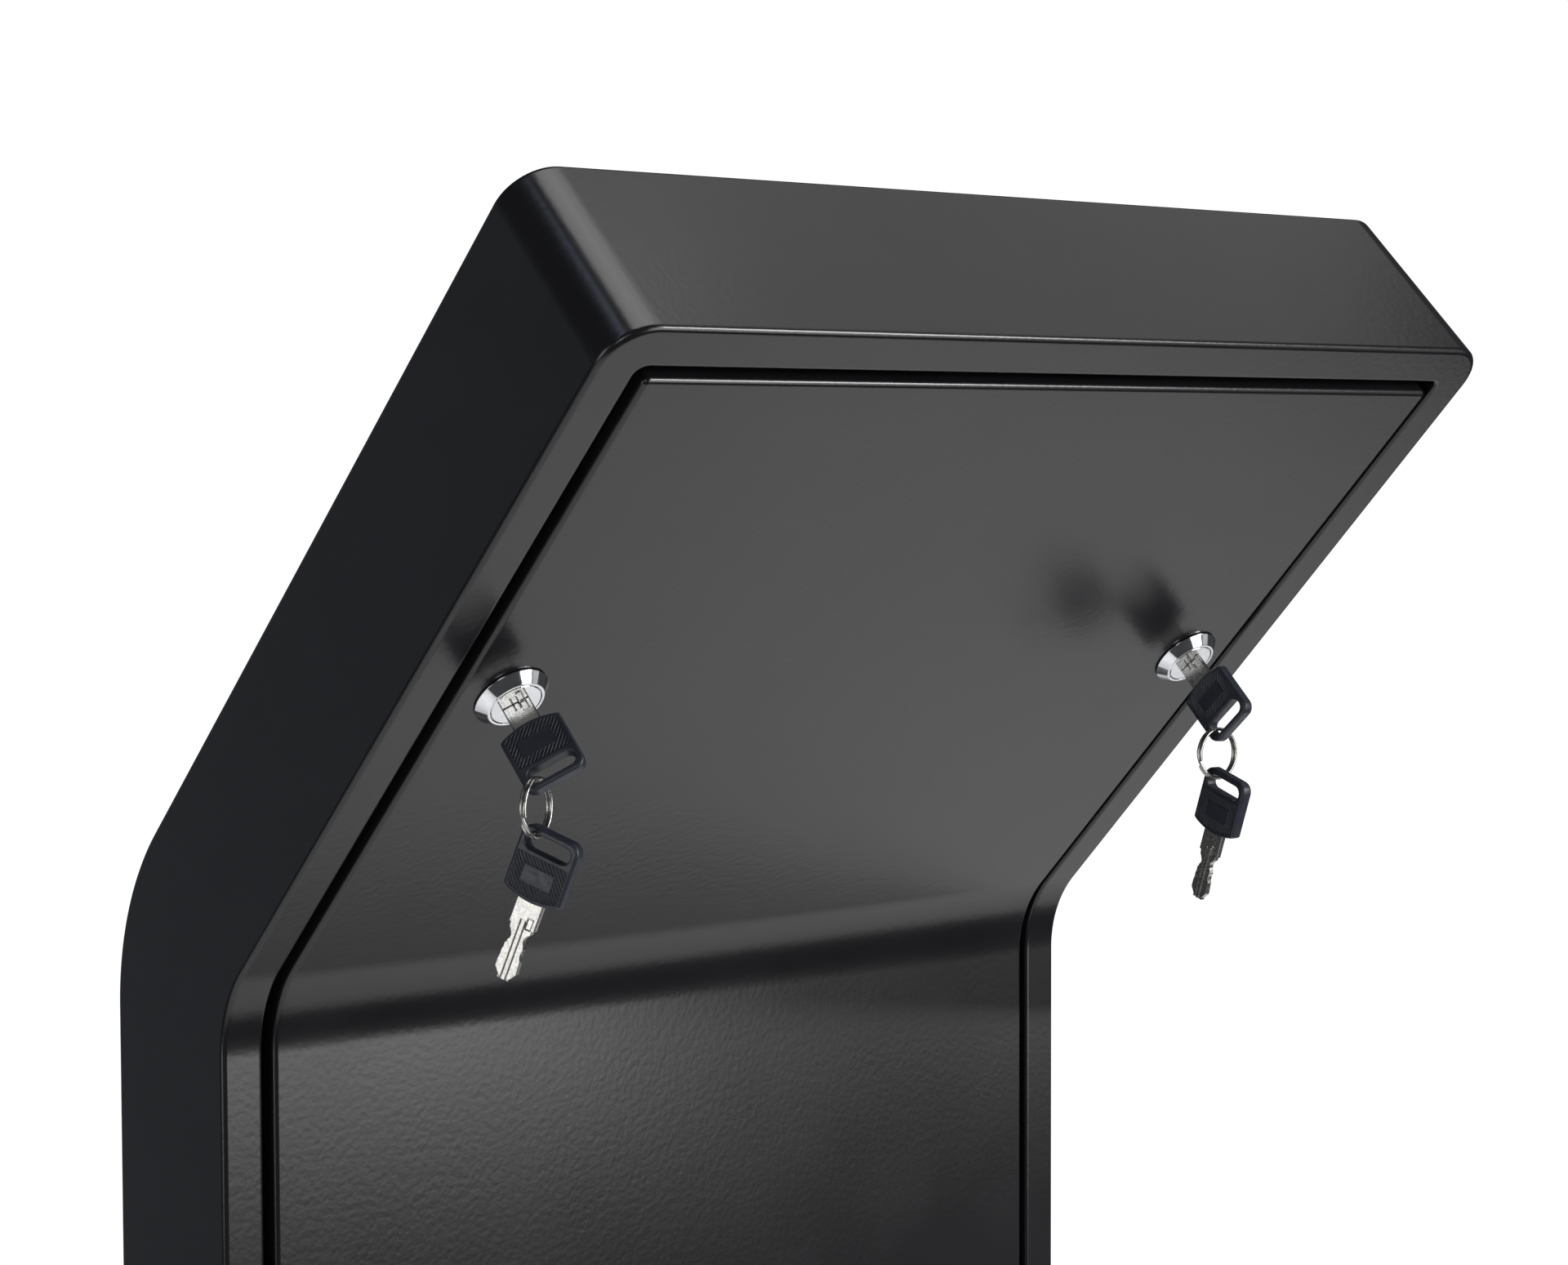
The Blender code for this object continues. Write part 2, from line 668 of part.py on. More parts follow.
def make_keeper(side, sign, coat, rubber):
    """The angle on the side wall that the cam turns behind, and the rubber buffer the door rests on."""
    inner = DOOR_HALF_WIDTH + DOOR_GAP - KEEPER_REACH
    outer = WIDTH / 2 - SHEET - FIT_GAP
    back = -BARREL_LENGTH - FIT_GAP
    front = back + SHEET
    outline = [
        (sign * inner, front),
        (sign * outer, front),
        (sign * outer, back - KEEPER_LEG),
        (sign * (outer - SHEET), back - KEEPER_LEG),
        (sign * (outer - SHEET), back),
        (sign * inner, back),
    ]
    keeper = make_prism(
        f"lock_keeper_{side}",
        outline,
        LOCK_UP_HEAD - KEEPER_LOW,
        LOCK_UP_HEAD + KEEPER_HIGH,
        coat,
        along="y",
    )
    place(keeper, head_point(0, 0, 0), HEAD_TILT)
    buffer_low = front + FIT_GAP
    buffer_high = -DOOR_PAN_DEPTH - FIT_GAP
    profile = [
        (BUFFER_RADIUS, buffer_low),
        (BUFFER_RADIUS, buffer_high - BUFFER_CHAMFER),
        (BUFFER_RADIUS - BUFFER_CHAMFER, buffer_high),
    ]
    rubber_buffer = make_turned(f"door_buffer_{side}", profile, SMALL_ROUND_STEPS, rubber)
    x = inner + FIT_GAP + BUFFER_RADIUS
    along = LOCK_UP_HEAD - KEEPER_LOW + BUFFER_RADIUS + FIT_GAP
    place(rubber_buffer, head_point(sign * x, along, 0), HEAD_TILT)


# Keys: local X across the bow, Z from the blade towards the bow's far end, 0 where the bow starts


def bow_outline():
    """Two rounded far corners, straight sides, and an arched end where the blade comes out."""
    half = BOW_WIDTH / 2
    far = BOW_LENGTH - BOW_CORNER_RADIUS
    corner = half - BOW_CORNER_RADIUS
    outline = arc((corner, far), BOW_CORNER_RADIUS, 0, pi / 2, 4)
    outline += arc((-corner, far), BOW_CORNER_RADIUS, pi / 2, pi, 4)
    arch_radius = (half**2 + BOW_ARCH**2) / (2 * BOW_ARCH)
    spread = atan2(half, arch_radius - BOW_ARCH)
    start = -pi / 2 - spread
    outline += arc((0, arch_radius), arch_radius, start, start + 2 * spread, 8)
    return outline


def blade_outline():
    """A shouldered blade with cuts on both edges and a blunt point, and a tang inside the bow."""
    half = BLADE_WIDTH / 2
    shoulder = BLADE_SHOULDER_WIDTH / 2
    tang = TANG_WIDTH / 2
    tip = -BLADE_LENGTH
    start = -BLADE_SHOULDER_LENGTH
    cuts = [
        half * (1 - BLADE_DEEP_CUT * (k % 2) - BLADE_SHALLOW_CUT * (k % 3))
        for k in range(BLADE_CUTS)
    ]
    step = (BLADE_LENGTH - BLADE_SHOULDER_LENGTH - half) / BLADE_CUTS
    right = [(cut, start - step * (k + 0.5)) for k, cut in enumerate(cuts)]
    left = [(-cut, start - step * (k + 0.5)) for k, cut in enumerate(reversed(cuts))]
    neck = -FIT_GAP
    outline = [(tang, TANG_LENGTH), (tang, neck), (shoulder, neck), (shoulder, start)]
    outline += [(half, start), *right, (half * BLADE_POINT, tip), (-half * BLADE_POINT, tip)]
    outline += [*reversed(left), (-half, start), (-shoulder, start), (-shoulder, neck)]
    outline += [(-tang, neck), (-tang, TANG_LENGTH)]
    return outline


def slot_outline():
    radius = BOW_SLOT_HEIGHT / 2
    end = BOW_SLOT_LENGTH / 2 - BOW_SLOT_HEIGHT / 2
    outline = arc((end, BOW_SLOT_CENTRE), radius, -pi / 2, pi / 2, 6)
    outline += arc((-end, BOW_SLOT_CENTRE), radius, pi / 2, 1.5 * pi, 6)
    return outline


def make_key(prefix, side, steel, plastic, frame):
    half = BOW_THICKNESS / 2
    bow = make_prism(f"{prefix}_bow_{side}", bow_outline(), -half, half, plastic, along="y")
    slot = make_prism(f"{prefix}_slot_{side}", slot_outline(), -2 * half, 2 * half, None, along="y")
    pocket_half = TANG_WIDTH / 2 + FIT_GAP
    pocket_depth = BLADE_THICKNESS / 2 + FIT_GAP
    pocket = make_prism(
        f"{prefix}_pocket_{side}",
        rectangle(-pocket_half, pocket_half, -BOW_ARCH, TANG_LENGTH + FIT_GAP),
        -pocket_depth,
        pocket_depth,
        None,
        along="y",
    )
    thickness = BLADE_THICKNESS / 2
    blade = make_prism(
        f"{prefix}_blade_{side}", blade_outline(), -thickness, thickness, steel, along="y"
    )
    for obj in (bow, slot, pocket, blade):
        place(obj, parent=frame)
    combine(bow, [slot, pocket], "DIFFERENCE")


def make_split_ring(side, steel, frame):
    """Two turns of wire as one flat-sided loop about local Y, hanging from the frame's origin."""
    middle = RING_RADIUS - RING_WIRE / 2
    section = circle(1, RING_WIRE_STEPS)
    profile = [
        (middle + a * RING_WIRE / 2, b * RING_TURNS_WIDTH / 2)
        for a, b in section
    ]
    ring = make_turned(f"split_ring_{side}", profile, RING_STEPS, steel, tube=True)
    place(ring, (0, 0, -middle), Euler((radians(90), 0, 0)), frame)


def ring_direction(side):
    """The level direction in which the ring's wire goes through the bow's slot, towards the viewer."""
    facing = RING_FACING[side]
    return Vector((-sin(facing), -cos(facing), 0))


def hanging_point(side):
    """Where the ring's wire lies in the low end of the inserted key's slot, in the key's own frame."""
    slide = Vector((-sin(KEY_TURN[side]), 1)).normalized()
    end = BOW_SLOT_LENGTH / 2 - BOW_SLOT_HEIGHT / 2
    across = -end + slide.x * RING_PLAY
    along = BOW_SLOT_CENTRE + slide.y * RING_PLAY
    return Vector((across, RING_FORWARD, KEY_STAND_OFF + along))


def make_keys(side, sign, steel, plastic, plug_frame):
    """The key in the lock, the split ring through its slot, and the spare key that hangs from it."""
    key_frame = make_empty(f"key_{side}", (0, 0, KEY_STAND_OFF), parent=plug_frame)
    make_key("key", side, steel, plastic, key_frame)

    tilt = HEAD_TILT.to_matrix() @ Euler((0, 0, KEY_TURN[side])).to_matrix()
    lock = head_point(sign * LOCK_X, LOCK_UP_HEAD, 0)
    hang = lock + tilt @ hanging_point(side)
    forward = ring_direction(side)
    ring_frame = make_empty(f"ring_{side}", hang, axes_rotation(forward, UP))
    make_split_ring(side, steel, ring_frame)

    low = hang - UP * (2 * RING_RADIUS - RING_WIRE)
    along = UP.cross(forward)
    across = along * cos(SPARE_TILT[side]) - UP * sin(SPARE_TILT[side])
    upward = UP * cos(SPARE_TILT[side]) + along * sin(SPARE_TILT[side])
    end = BOW_SLOT_LENGTH / 2 - BOW_SLOT_HEIGHT / 2
    play = BOW_SLOT_HEIGHT / 2 - RING_TURNS_WIDTH / 2 - FIT_GAP
    held = Vector((-end - play * sin(SPARE_TILT[side]), 0, BOW_SLOT_CENTRE + play * cos(SPARE_TILT[side])))
    turn = Matrix((across, upward.cross(across), upward)).transposed()
    spare_frame = make_empty(f"spare_{side}", low, turn.to_euler())
    spare_origin = make_empty(f"spare_origin_{side}", -held, parent=spare_frame)
    make_key("spare_key", side, steel, plastic, spare_origin)


# Letter flap


def make_flap(coat, steel):
    """A lifting flap over the slot, its rolled upper edge on a pin held by an ear at each end."""
    axis_height = PANEL_BACK - DEPTH + FIT_GAP + FLAP_KNUCKLE_RADIUS
    axis_up = HEAD_LENGTH - SLOT_BELOW_TOP + FLAP_OVERLAP + FLAP_KNUCKLE_RADIUS
    frame = make_empty("flap_axis", head_point(0, axis_up, DEPTH + axis_height), HEAD_REAR_TILT)
    low = -FLAP_KNUCKLE_RADIUS
    reach = -(SLOT_HEIGHT + 2 * FLAP_OVERLAP + FLAP_KNUCKLE_RADIUS)
    half = SLOT_WIDTH / 2 + FLAP_OVERLAP
    plate = [
        (0, low),
        (0, low + SHEET),
        (reach + SHEET, low + SHEET),
        (reach + SHEET, low + FLAP_LIP),
        (reach, low + FLAP_LIP),
        (reach, low),
    ]
    flap = make_prism("letter_flap", plate, -half, half, coat, along="x")
    knuckle_outline = circle(FLAP_KNUCKLE_RADIUS, SMALL_ROUND_STEPS)
    bore_outline = circle(FLAP_KNUCKLE_BORE, HOLE_STEPS)
    knuckle = make_prism("flap_knuckle", knuckle_outline, -half, half, None, along="x")
    bore = make_prism("flap_bore", bore_outline, -2 * half, 2 * half, None, along="x")
    for obj in (flap, knuckle, bore):
        place(obj, parent=frame)
    combine(flap, [knuckle], "UNION")
    combine(flap, [bore], "DIFFERENCE")

    pin_half = half + KNUCKLE_END_GAP + FLAP_EAR_THICKNESS + SHEET
    pin_outline = circle(FLAP_PIN_RADIUS, HOLE_STEPS)
    pin = make_prism("flap_pin", pin_outline, -pin_half, pin_half, steel, along="x")
    place(pin, parent=frame)
    base = low
    for side, sign in SIDES.items():
        inner = half + KNUCKLE_END_GAP
        ear_outline = [(-FLAP_EAR_BASE / 2, base), (FLAP_EAR_BASE / 2, base)]
        ear_outline += arc((0, 0), FLAP_KNUCKLE_RADIUS + FLAP_EAR_WALL, 0, pi, 8)
        spans = sorted((-sign * inner, -sign * (inner + FLAP_EAR_THICKNESS)))
        ear = make_prism(f"flap_ear_{side}", ear_outline, *spans, coat, along="x")
        place(ear, parent=frame)
        ear_bore = make_prism(f"ear_bore_{side}", bore_outline, -2 * half, 2 * half, None, along="x")
        place(ear_bore, parent=frame)
        combine(ear, [ear_bore], "DIFFERENCE")


def build():
    coat = make_material("black_powder_coat", (0.018, 0.018, 0.020), 0.38, 0.0)
    chrome = make_material("chrome", (0.78, 0.79, 0.80), 0.08, 1.0)
    steel = make_material("zinc_plated_steel", (0.55, 0.55, 0.54), 0.35, 1.0)
    nickel = make_material("nickel_plate", (0.66, 0.63, 0.58), 0.22, 1.0)
    plastic = make_material("black_plastic", (0.012, 0.013, 0.017), 0.42, 0.0)
    rubber = make_material("black_rubber", (0.015, 0.015, 0.015), 0.8, 0.0)

    casing = make_casing(coat)
    panel = make_rear_panel(coat)
    make_panel_screws(casing, panel, steel)
    make_retainer(coat)

    hinge = make_empty("door_axis", (0, HINGE_DEPTH - DEPTH, HINGE_HEIGHT))
    door = make_door(coat, hinge)
    make_lock_holes(door)
    make_hinge(steel, hinge)

    for side, sign in SIDES.items():
        lock_place = head_point(sign * LOCK_X, LOCK_UP_HEAD, 0)
        frame = make_empty(f"lock_{side}", lock_place, HEAD_TILT)
        plug_frame = make_empty(f"plug_{side}", (0, 0, 0), Euler((0, 0, KEY_TURN[side])), frame)
        make_lock(side, chrome, steel, frame, plug_frame)
        make_keeper(side, sign, coat, rubber)
        make_keys(side, sign, nickel, plastic, plug_frame)
    make_flap(coat, steel)


for leftover in list(bpy.data.objects):
    bpy.data.objects.remove(leftover)
build()
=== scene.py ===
"""Looks for the bent black letter cabinet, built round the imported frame.

The powder-coated skins, the chromed locks, the keys and the split rings are worked out again as fine
surfaces; the plain sheet and turned pieces inside keep their frame shape with softened edges. Metres,
+Z up, the front towards -Y. Places on the bent body are (x, station, depth): x across, station along the
front face, and depth back from the plane of the rim. A station below 0 is the height under the bend, 0 to
1 is the share of the bend, and above 1 it is 1 plus the distance up the straight head.
"""

import json
from math import cos, pi, radians, sin, tan

import bmesh
import bpy
import numpy as np
from mathutils import Euler, Matrix, Vector


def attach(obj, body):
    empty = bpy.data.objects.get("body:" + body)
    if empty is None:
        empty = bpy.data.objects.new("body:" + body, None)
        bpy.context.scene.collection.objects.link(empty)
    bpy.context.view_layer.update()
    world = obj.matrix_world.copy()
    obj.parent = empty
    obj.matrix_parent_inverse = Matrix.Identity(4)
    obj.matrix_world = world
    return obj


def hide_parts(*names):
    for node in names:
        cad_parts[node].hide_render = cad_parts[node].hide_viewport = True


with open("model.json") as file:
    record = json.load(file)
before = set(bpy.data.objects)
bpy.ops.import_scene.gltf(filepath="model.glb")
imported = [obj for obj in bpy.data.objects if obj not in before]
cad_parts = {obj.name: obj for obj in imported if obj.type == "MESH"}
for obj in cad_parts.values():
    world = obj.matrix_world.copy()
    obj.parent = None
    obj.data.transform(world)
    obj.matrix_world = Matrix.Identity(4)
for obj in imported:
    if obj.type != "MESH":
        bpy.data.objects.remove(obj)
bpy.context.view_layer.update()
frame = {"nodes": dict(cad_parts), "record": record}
BODY_OF = {
    node: body
    for body, nodes in frame["record"]["behaviour"]["bodies"].items()
    for node in nodes
}

# Sizes of the frame that the finer skins follow
WIDTH = 0.400
DEPTH = 0.072
LOWER_LENGTH = 0.260
HEAD_LENGTH = 0.300
LEAN = radians(45)
FRONT_BEND_RADIUS = 0.044
REAR_BEND_RADIUS = 0.090
BOTTOM = -0.007
BEND_START = BOTTOM + LOWER_LENGTH
SHEET = 0.0015
FIT_GAP = 0.0003
CORNER_RADIUS = 0.0165
RIM_WIDTH = 0.016
OPENING_CORNER_RADIUS = 0.004
RIM_RETURN = 0.012
REAR_FLANGE = 0.012
FOLD_RADIUS = 0.002
RIM_FOLD_RADIUS = 0.0016
CUT_EDGE = 0.0003
DOOR_GAP = 0.0038
HINGE_GAP = 0.0066
DOOR_PROUD = 0.0012
DOOR_FOLD_RADIUS = 0.0019
DOOR_CORNER_RADIUS = 0.0025
DOOR_PAN_DEPTH = 0.008
DOOR_HALF_WIDTH = WIDTH / 2 - RIM_WIDTH - DOOR_GAP
SLOT_WIDTH = 0.330
SLOT_HEIGHT = 0.034
SLOT_BELOW_TOP = 0.041
WALL_HOLE_RADIUS = 0.0032
WALL_HOLE_SPREAD = 0.130
WALL_HOLE_HEIGHTS = (BOTTOM + 0.055, BEND_START - 0.045)
PANEL_BACK = DEPTH - SHEET - FIT_GAP
PANEL_FRONT = PANEL_BACK - SHEET
PANEL_SCREW_RADIUS = 0.0018
PANEL_SCREW_HEAD_RADIUS = 0.0036
PANEL_SCREW_HEAD = 0.002
PANEL_SCREW_END_MARGIN = 0.055
PANEL_SCREW_X = WIDTH / 2 - (FOLD_RADIUS + REAR_FLANGE) / 2

# Locks
LOCK_X = DOOR_HALF_WIDTH - 0.0216
LOCK_UP_HEAD = 0.140
BEZEL_RADIUS = 0.0131
BEZEL_FACE_RADIUS = 0.0101
BEZEL_BASE = DOOR_PROUD + FIT_GAP
BEZEL_FACE = BEZEL_BASE + 0.0037
BARREL_RADIUS = 0.0095
BARREL_LENGTH = 0.0205
PLUG_FACE_RADIUS = 0.0089
PLUG_FACE_DEPTH = 0.0014
PLUG_RADIUS = 0.0062
PLUG_CLEARANCE = 0.0003
SPIGOT_SIZE = 0.0065
CAM_FRONT = BARREL_LENGTH + FIT_GAP + 0.0006
CAM_BACK = CAM_FRONT + 0.002
CAM_SCREW_RADIUS = 0.0018
CAM_SCREW_HEAD_RADIUS = 0.0052
CAM_SCREW_HEAD = 0.0024
CAM_SCREW_LENGTH = 0.006

# Keys: local X across the bow, Y through it, Z from the blade towards the bow's far end
KEY_TURN = {"left": radians(41), "right": radians(84)}
BOW_WIDTH = 0.0215
BOW_ARCH = 0.0024
BOW_LENGTH = 0.0216 + BOW_ARCH
BOW_THICKNESS = 0.005
BOW_CORNER_RADIUS = 0.004
BOW_SLOT_LENGTH = 0.0168
BOW_SLOT_HEIGHT = 0.0056
BOW_SLOT_CENTRE = BOW_LENGTH - 0.0022 - BOW_SLOT_HEIGHT / 2
BLADE_LENGTH = 0.027
BLADE_WIDTH = 0.0082
BLADE_SHOULDER_WIDTH = 0.0098
BLADE_SHOULDER_LENGTH = 0.0083
BLADE_THICKNESS = 0.002
KEY_STAND_OFF = BEZEL_FACE + FIT_GAP + BLADE_SHOULDER_LENGTH
TANG_LENGTH = 0.006
# Distance past the shoulder, or short of the tip, and the shares of the half width left and right of it
BLADE_CUTS = (
    (0.0001, 1, 1), (0.0016, 0.96, 0.98), (0.0030, 0.72, 0.66), (0.0040, 0.60, 0.60),
    (0.0052, 0.62, 0.64), (0.0058, 0.76, 0.72), (0.0066, 0.78, 0.80), (0.0072, 0.90, 0.85),
    (0.0086, 0.88, 0.76), (0.0098, 0.95, 0.80), (0.0112, 0.93, 0.90), (0.0130, 1, 0.93),
)
BLADE_POINT = ((0.0032, 1, 0.98), (0.0009, 0.52, 0.60), (0, 0.25, 0.25))
BOW_EDGE_RADIUS = 0.0012
BOW_LIP_RADIUS = 0.0006
BOW_BORDER = 0.0013
RIB_PITCH = 0.0011
RIB_DEPTH = 0.00045
RIB_SLANT = radians(42)
PLAQUE_SIZE = (0.0112, 0.0056)
PLAQUE_DEPTH = 0.0001
PLAQUE_CENTRE = BOW_LENGTH - 0.0154

# Split rings
RING_RADIUS = 0.010
RING_WIRE = 0.0013
RING_TURNS_WIDTH = 0.0026
RING_FACING = {"left": radians(63), "right": radians(92)}
RING_PLAY = 0.0008
RING_FORWARD = 0.0014
SPARE_TILT = {"left": radians(22), "right": radians(19)}

SIDES = {"left": -1, "right": 1}
HEAD_TILT = Euler((radians(90) + LEAN, 0, 0)).to_matrix()
HEAD_REAR_TILT = Euler((radians(90) - LEAN, 0, pi)).to_matrix()
UP = Vector((0, 0, 1))
SMOOTH_ANGLE = radians(32)


# Camera and studio

CAMERA_PLACE = (-0.785529, -1.060037, 0.45855)
CAMERA_YAW = 0.703385
CAMERA_PITCH = -0.052331
CAMERA_ROLL = -0.003013
CAMERA_LENS = 76.61
ROOM_STRENGTH = 0.06
FLOOR_HEIGHT = -0.62
FLOOR_CENTRE = (0.12, 0.1)
FLOOR_SHORT_WAY = (0.2, -0.98)
FLOOR_LONG_WAY = (0.98, 0.2)
FLOOR_REACH = (0.94, 2.4)


def make_camera():
    """A long lens to the left of the cabinet, near the height of the locks, looking slightly down."""
    yaw, pitch, roll = CAMERA_YAW, CAMERA_PITCH, CAMERA_ROLL
    forward = Vector((sin(yaw) * cos(pitch), cos(yaw) * cos(pitch), sin(pitch)))
    level = Vector((cos(yaw), -sin(yaw), 0))
    upright = level.cross(forward)
    right = level * cos(roll) + upright * sin(roll)
    up = upright * cos(roll) - level * sin(roll)
    data = bpy.data.cameras.new("camera")
    data.sensor_width = 36
    data.lens = CAMERA_LENS
    data.clip_start = 0.05
    data.clip_end = 60
    camera = bpy.data.objects.new("camera", data)
    bpy.context.scene.collection.objects.link(camera)
    turn = Matrix((right, up, -forward)).transposed().to_4x4()
    camera.matrix_world = Matrix.Translation(CAMERA_PLACE) @ turn
    bpy.context.scene.camera = camera


def softbox(name, centre, target, size, radiance, colour=(1, 1, 1)):
    """An area light as bright per area as stated, whatever its size, turned to face a point."""
    data = bpy.data.lights.new(name, "AREA")
    data.shape = "RECTANGLE"
    data.size, data.size_y = size
    data.energy = radiance * pi * size[0] * size[1]
    data.color = colour
    light = bpy.data.objects.new(name, data)
    bpy.context.scene.collection.objects.link(light)
    centre = Vector(centre)
    aim = (Vector(target) - centre).to_track_quat("-Z", "Y")
    light.matrix_world = Matrix.Translation(centre) @ aim.to_matrix().to_4x4()
    light.visible_camera = False


def make_world():
    """White behind everything for the lens, and a dim grey room for light and reflections."""
    world = bpy.data.worlds.new("studio")
    bpy.context.scene.world = world
    world.use_nodes = True
    nodes = world.node_tree.nodes
    links = world.node_tree.links
    nodes.clear()
    output = nodes.new("ShaderNodeOutputWorld")
    seen = nodes.new("ShaderNodeBackground")
    room = nodes.new("ShaderNodeBackground")
    path = nodes.new("ShaderNodeLightPath")
    mix = nodes.new("ShaderNodeMixShader")
    seen.inputs["Color"].default_value = (1, 1, 1, 1)
    seen.inputs["Strength"].default_value = 1.05
    room.inputs["Color"].default_value = (0.93, 0.96, 1, 1)
    room.inputs["Strength"].default_value = ROOM_STRENGTH
    links.new(path.outputs["Is Camera Ray"], mix.inputs["Fac"])
    links.new(room.outputs[0], mix.inputs[1])
    links.new(seen.outputs[0], mix.inputs[2])
    links.new(mix.outputs[0], output.inputs["Surface"])


def make_floor():
    """A pale oval, short towards the front, so that the bend of the door mirrors the dark beyond it. A
    point has a share of the way out and a turn round the oval, whose cosine goes along the short way and
    whose sine along the long way."""
    turns = np.linspace(0, 2 * pi, 96, endpoint=False)
    shares = np.array([0.0001, 0.5, 1])[:, None, None]
    short_reach, long_reach = FLOOR_REACH
    flat = short_reach * shares * np.cos(turns)[:, None] * FLOOR_SHORT_WAY
    flat = flat + long_reach * shares * np.sin(turns)[:, None] * FLOOR_LONG_WAY + FLOOR_CENTRE
    points = np.concatenate([flat, np.full_like(flat[..., :1], FLOOR_HEIGHT)], axis=-1)
    floor = new_mesh_object("floor", [grid(points, wrap_columns=True)])
    material, nodes, links, shader = new_material("floor_paper", 0.85)
    spread_colours(
        nodes, links, noise(nodes, links, 9, 3), (0.84, 0.84, 0.85), (0.88, 0.88, 0.89),
        shader.inputs["Base Color"],
    )
    floor.data.materials.append(material)


def make_studio():
    """A big dim ceiling light, a ceiling core that fades to the right in three steps, front lights for the
    door and the top fold, lights that only brighten the floor, and low ones for the sides and the back."""
    make_world()
    scene = bpy.context.scene
    scene.view_settings.view_transform = "Standard"
    scene.view_settings.look = "None"
    make_floor()

    softbox("ceiling_light", (0.85, -0.35, 1.75), (0.15, -0.15, 0.4), (1.5, 1.1), 0.6)
    left_edge = -0.46
    for right_edge, radiance in ((0.68, 1.0), (0.4, 1.1), (0.15, 1.2)):
        middle = (left_edge + right_edge) / 2
        centre = (middle, -0.5, 1.6 - 0.01 * right_edge)
        size = (right_edge - left_edge, 0.6)
        softbox("ceiling_core", centre, (middle, -0.45, 0.5), size, radiance)
    softbox("front_light", (0.72, -1.75, 0.33), (0.0, -0.1, 0.33), (0.9, 1.0), 3.7)
    softbox("front_core", (1.2, -1.75, 0.98), (0.0, -0.25, 0.5), (0.5, 0.5), 20)
    softbox("front_side", (1.65, -1.4, 0.3), (0.1, -0.1, 0.3), (0.7, 0.8), 0.5)
    softbox("key_light", (-1.75, -0.3, 0.3), (-0.16, -0.2, 0.3), (0.8, 0.9), 2.0)
    softbox("floor_light", (0.9, -0.3, 0.1), (0.8, -0.2, FLOOR_HEIGHT), (1.5, 1.2), 1.08)
    softbox("left_strip", (-0.98, -0.38, 1.5), (-0.2, -0.2, 0.45), (0.18, 0.6), 1.9, (0.68, 0.78, 1))
    softbox("floor_left", (-0.85, -0.35, 0.1), (-0.85, -0.35, FLOOR_HEIGHT), (0.9, 1.0), 2.0)
    softbox("bow_light", (-1.2, -1.5, 0.6), (-0.16, -0.2, 0.35), (0.5, 0.6), 3.0)
    softbox("back_light", (1.3, 1.5, 0.4), (0.0, 0.05, 0.3), (1.0, 1.8), 1.2)
    softbox("side_glow", (-0.9, 1.4, 0.3), (-0.2, -0.05, 0.3), (1.2, 1.4), 0.13, (0.8, 0.88, 1))


# Materials


def new_material(name, roughness, metallic=0.0):
    """A named material with its nodes, its links and its main shader."""
    material = bpy.data.materials.new(name)
    material.use_nodes = True
    nodes = material.node_tree.nodes
    shader = nodes["Principled BSDF"]
    shader.inputs["Roughness"].default_value = roughness
    shader.inputs["Metallic"].default_value = metallic
    return material, nodes, material.node_tree.links, shader


def noise(nodes, links, scale, detail=2.0, stretch=None):
    """A noise over the piece's own coordinates. Stretch scales it along each axis."""
    place = nodes.new("ShaderNodeTexCoord")
    texture = nodes.new("ShaderNodeTexNoise")
    texture.inputs["Scale"].default_value = scale
    texture.inputs["Detail"].default_value = detail
    source = place.outputs["Object"]
    if stretch is not None:
        mapping = nodes.new("ShaderNodeMapping")
        mapping.inputs["Scale"].default_value = stretch
        links.new(source, mapping.inputs["Vector"])
        source = mapping.outputs["Vector"]
    links.new(source, texture.inputs["Vector"])
    return texture.outputs["Fac"]


def spread_values(nodes, links, source, low, high, target):
    """Sends a 0 to 1 pattern to a socket, as values from low to high."""
    ramp = nodes.new("ShaderNodeMapRange")
    ramp.inputs["From Min"].default_value = 0.3
    ramp.inputs["From Max"].default_value = 0.7
    ramp.inputs["To Min"].default_value = low
    ramp.inputs["To Max"].default_value = high
    links.new(source, ramp.inputs["Value"])
    links.new(ramp.outputs["Result"], target)


def spread_colours(nodes, links, source, low, high, target):
    """Sends a 0 to 1 pattern to a socket, as colours from low to high."""
    ramp = nodes.new("ShaderNodeValToRGB")
    ramp.color_ramp.elements[0].position = 0.3
    ramp.color_ramp.elements[0].color = (*low, 1)
    ramp.color_ramp.elements[1].position = 0.7
    ramp.color_ramp.elements[1].color = (*high, 1)
    links.new(source, ramp.inputs["Fac"])
    links.new(ramp.outputs["Color"], target)


def bump(nodes, links, source, depth, shader, below=None):
    """Relief of a given depth in metres, on top of another one if there is one below."""
    node = nodes.new("ShaderNodeBump")
    node.inputs["Strength"].default_value = 1.0
    node.inputs["Distance"].default_value = depth
    links.new(source, node.inputs["Height"])
    if below is not None:
        links.new(below.outputs["Normal"], node.inputs["Normal"])
    links.new(node.outputs["Normal"], shader.inputs["Normal"])
    return node


def powder_coat():
    """Semi-gloss black powder: orange peel about 2 mm across over a faint waviness of the sheet."""
    material, nodes, links, shader = new_material("powder_coat", 0.3)
    spread_colours(
        nodes, links, noise(nodes, links, 35, 4), (0.008, 0.008, 0.0092), (0.0105, 0.0105, 0.012),
        shader.inputs["Base Color"],
    )
    spread_values(nodes, links, noise(nodes, links, 18, 2), 0.22, 0.24, shader.inputs["Roughness"])
    wave = bump(nodes, links, noise(nodes, links, 6, 0), 0.0002, shader)
    bump(nodes, links, noise(nodes, links, 420, 1), 0.00004, shader, wave)
    return material


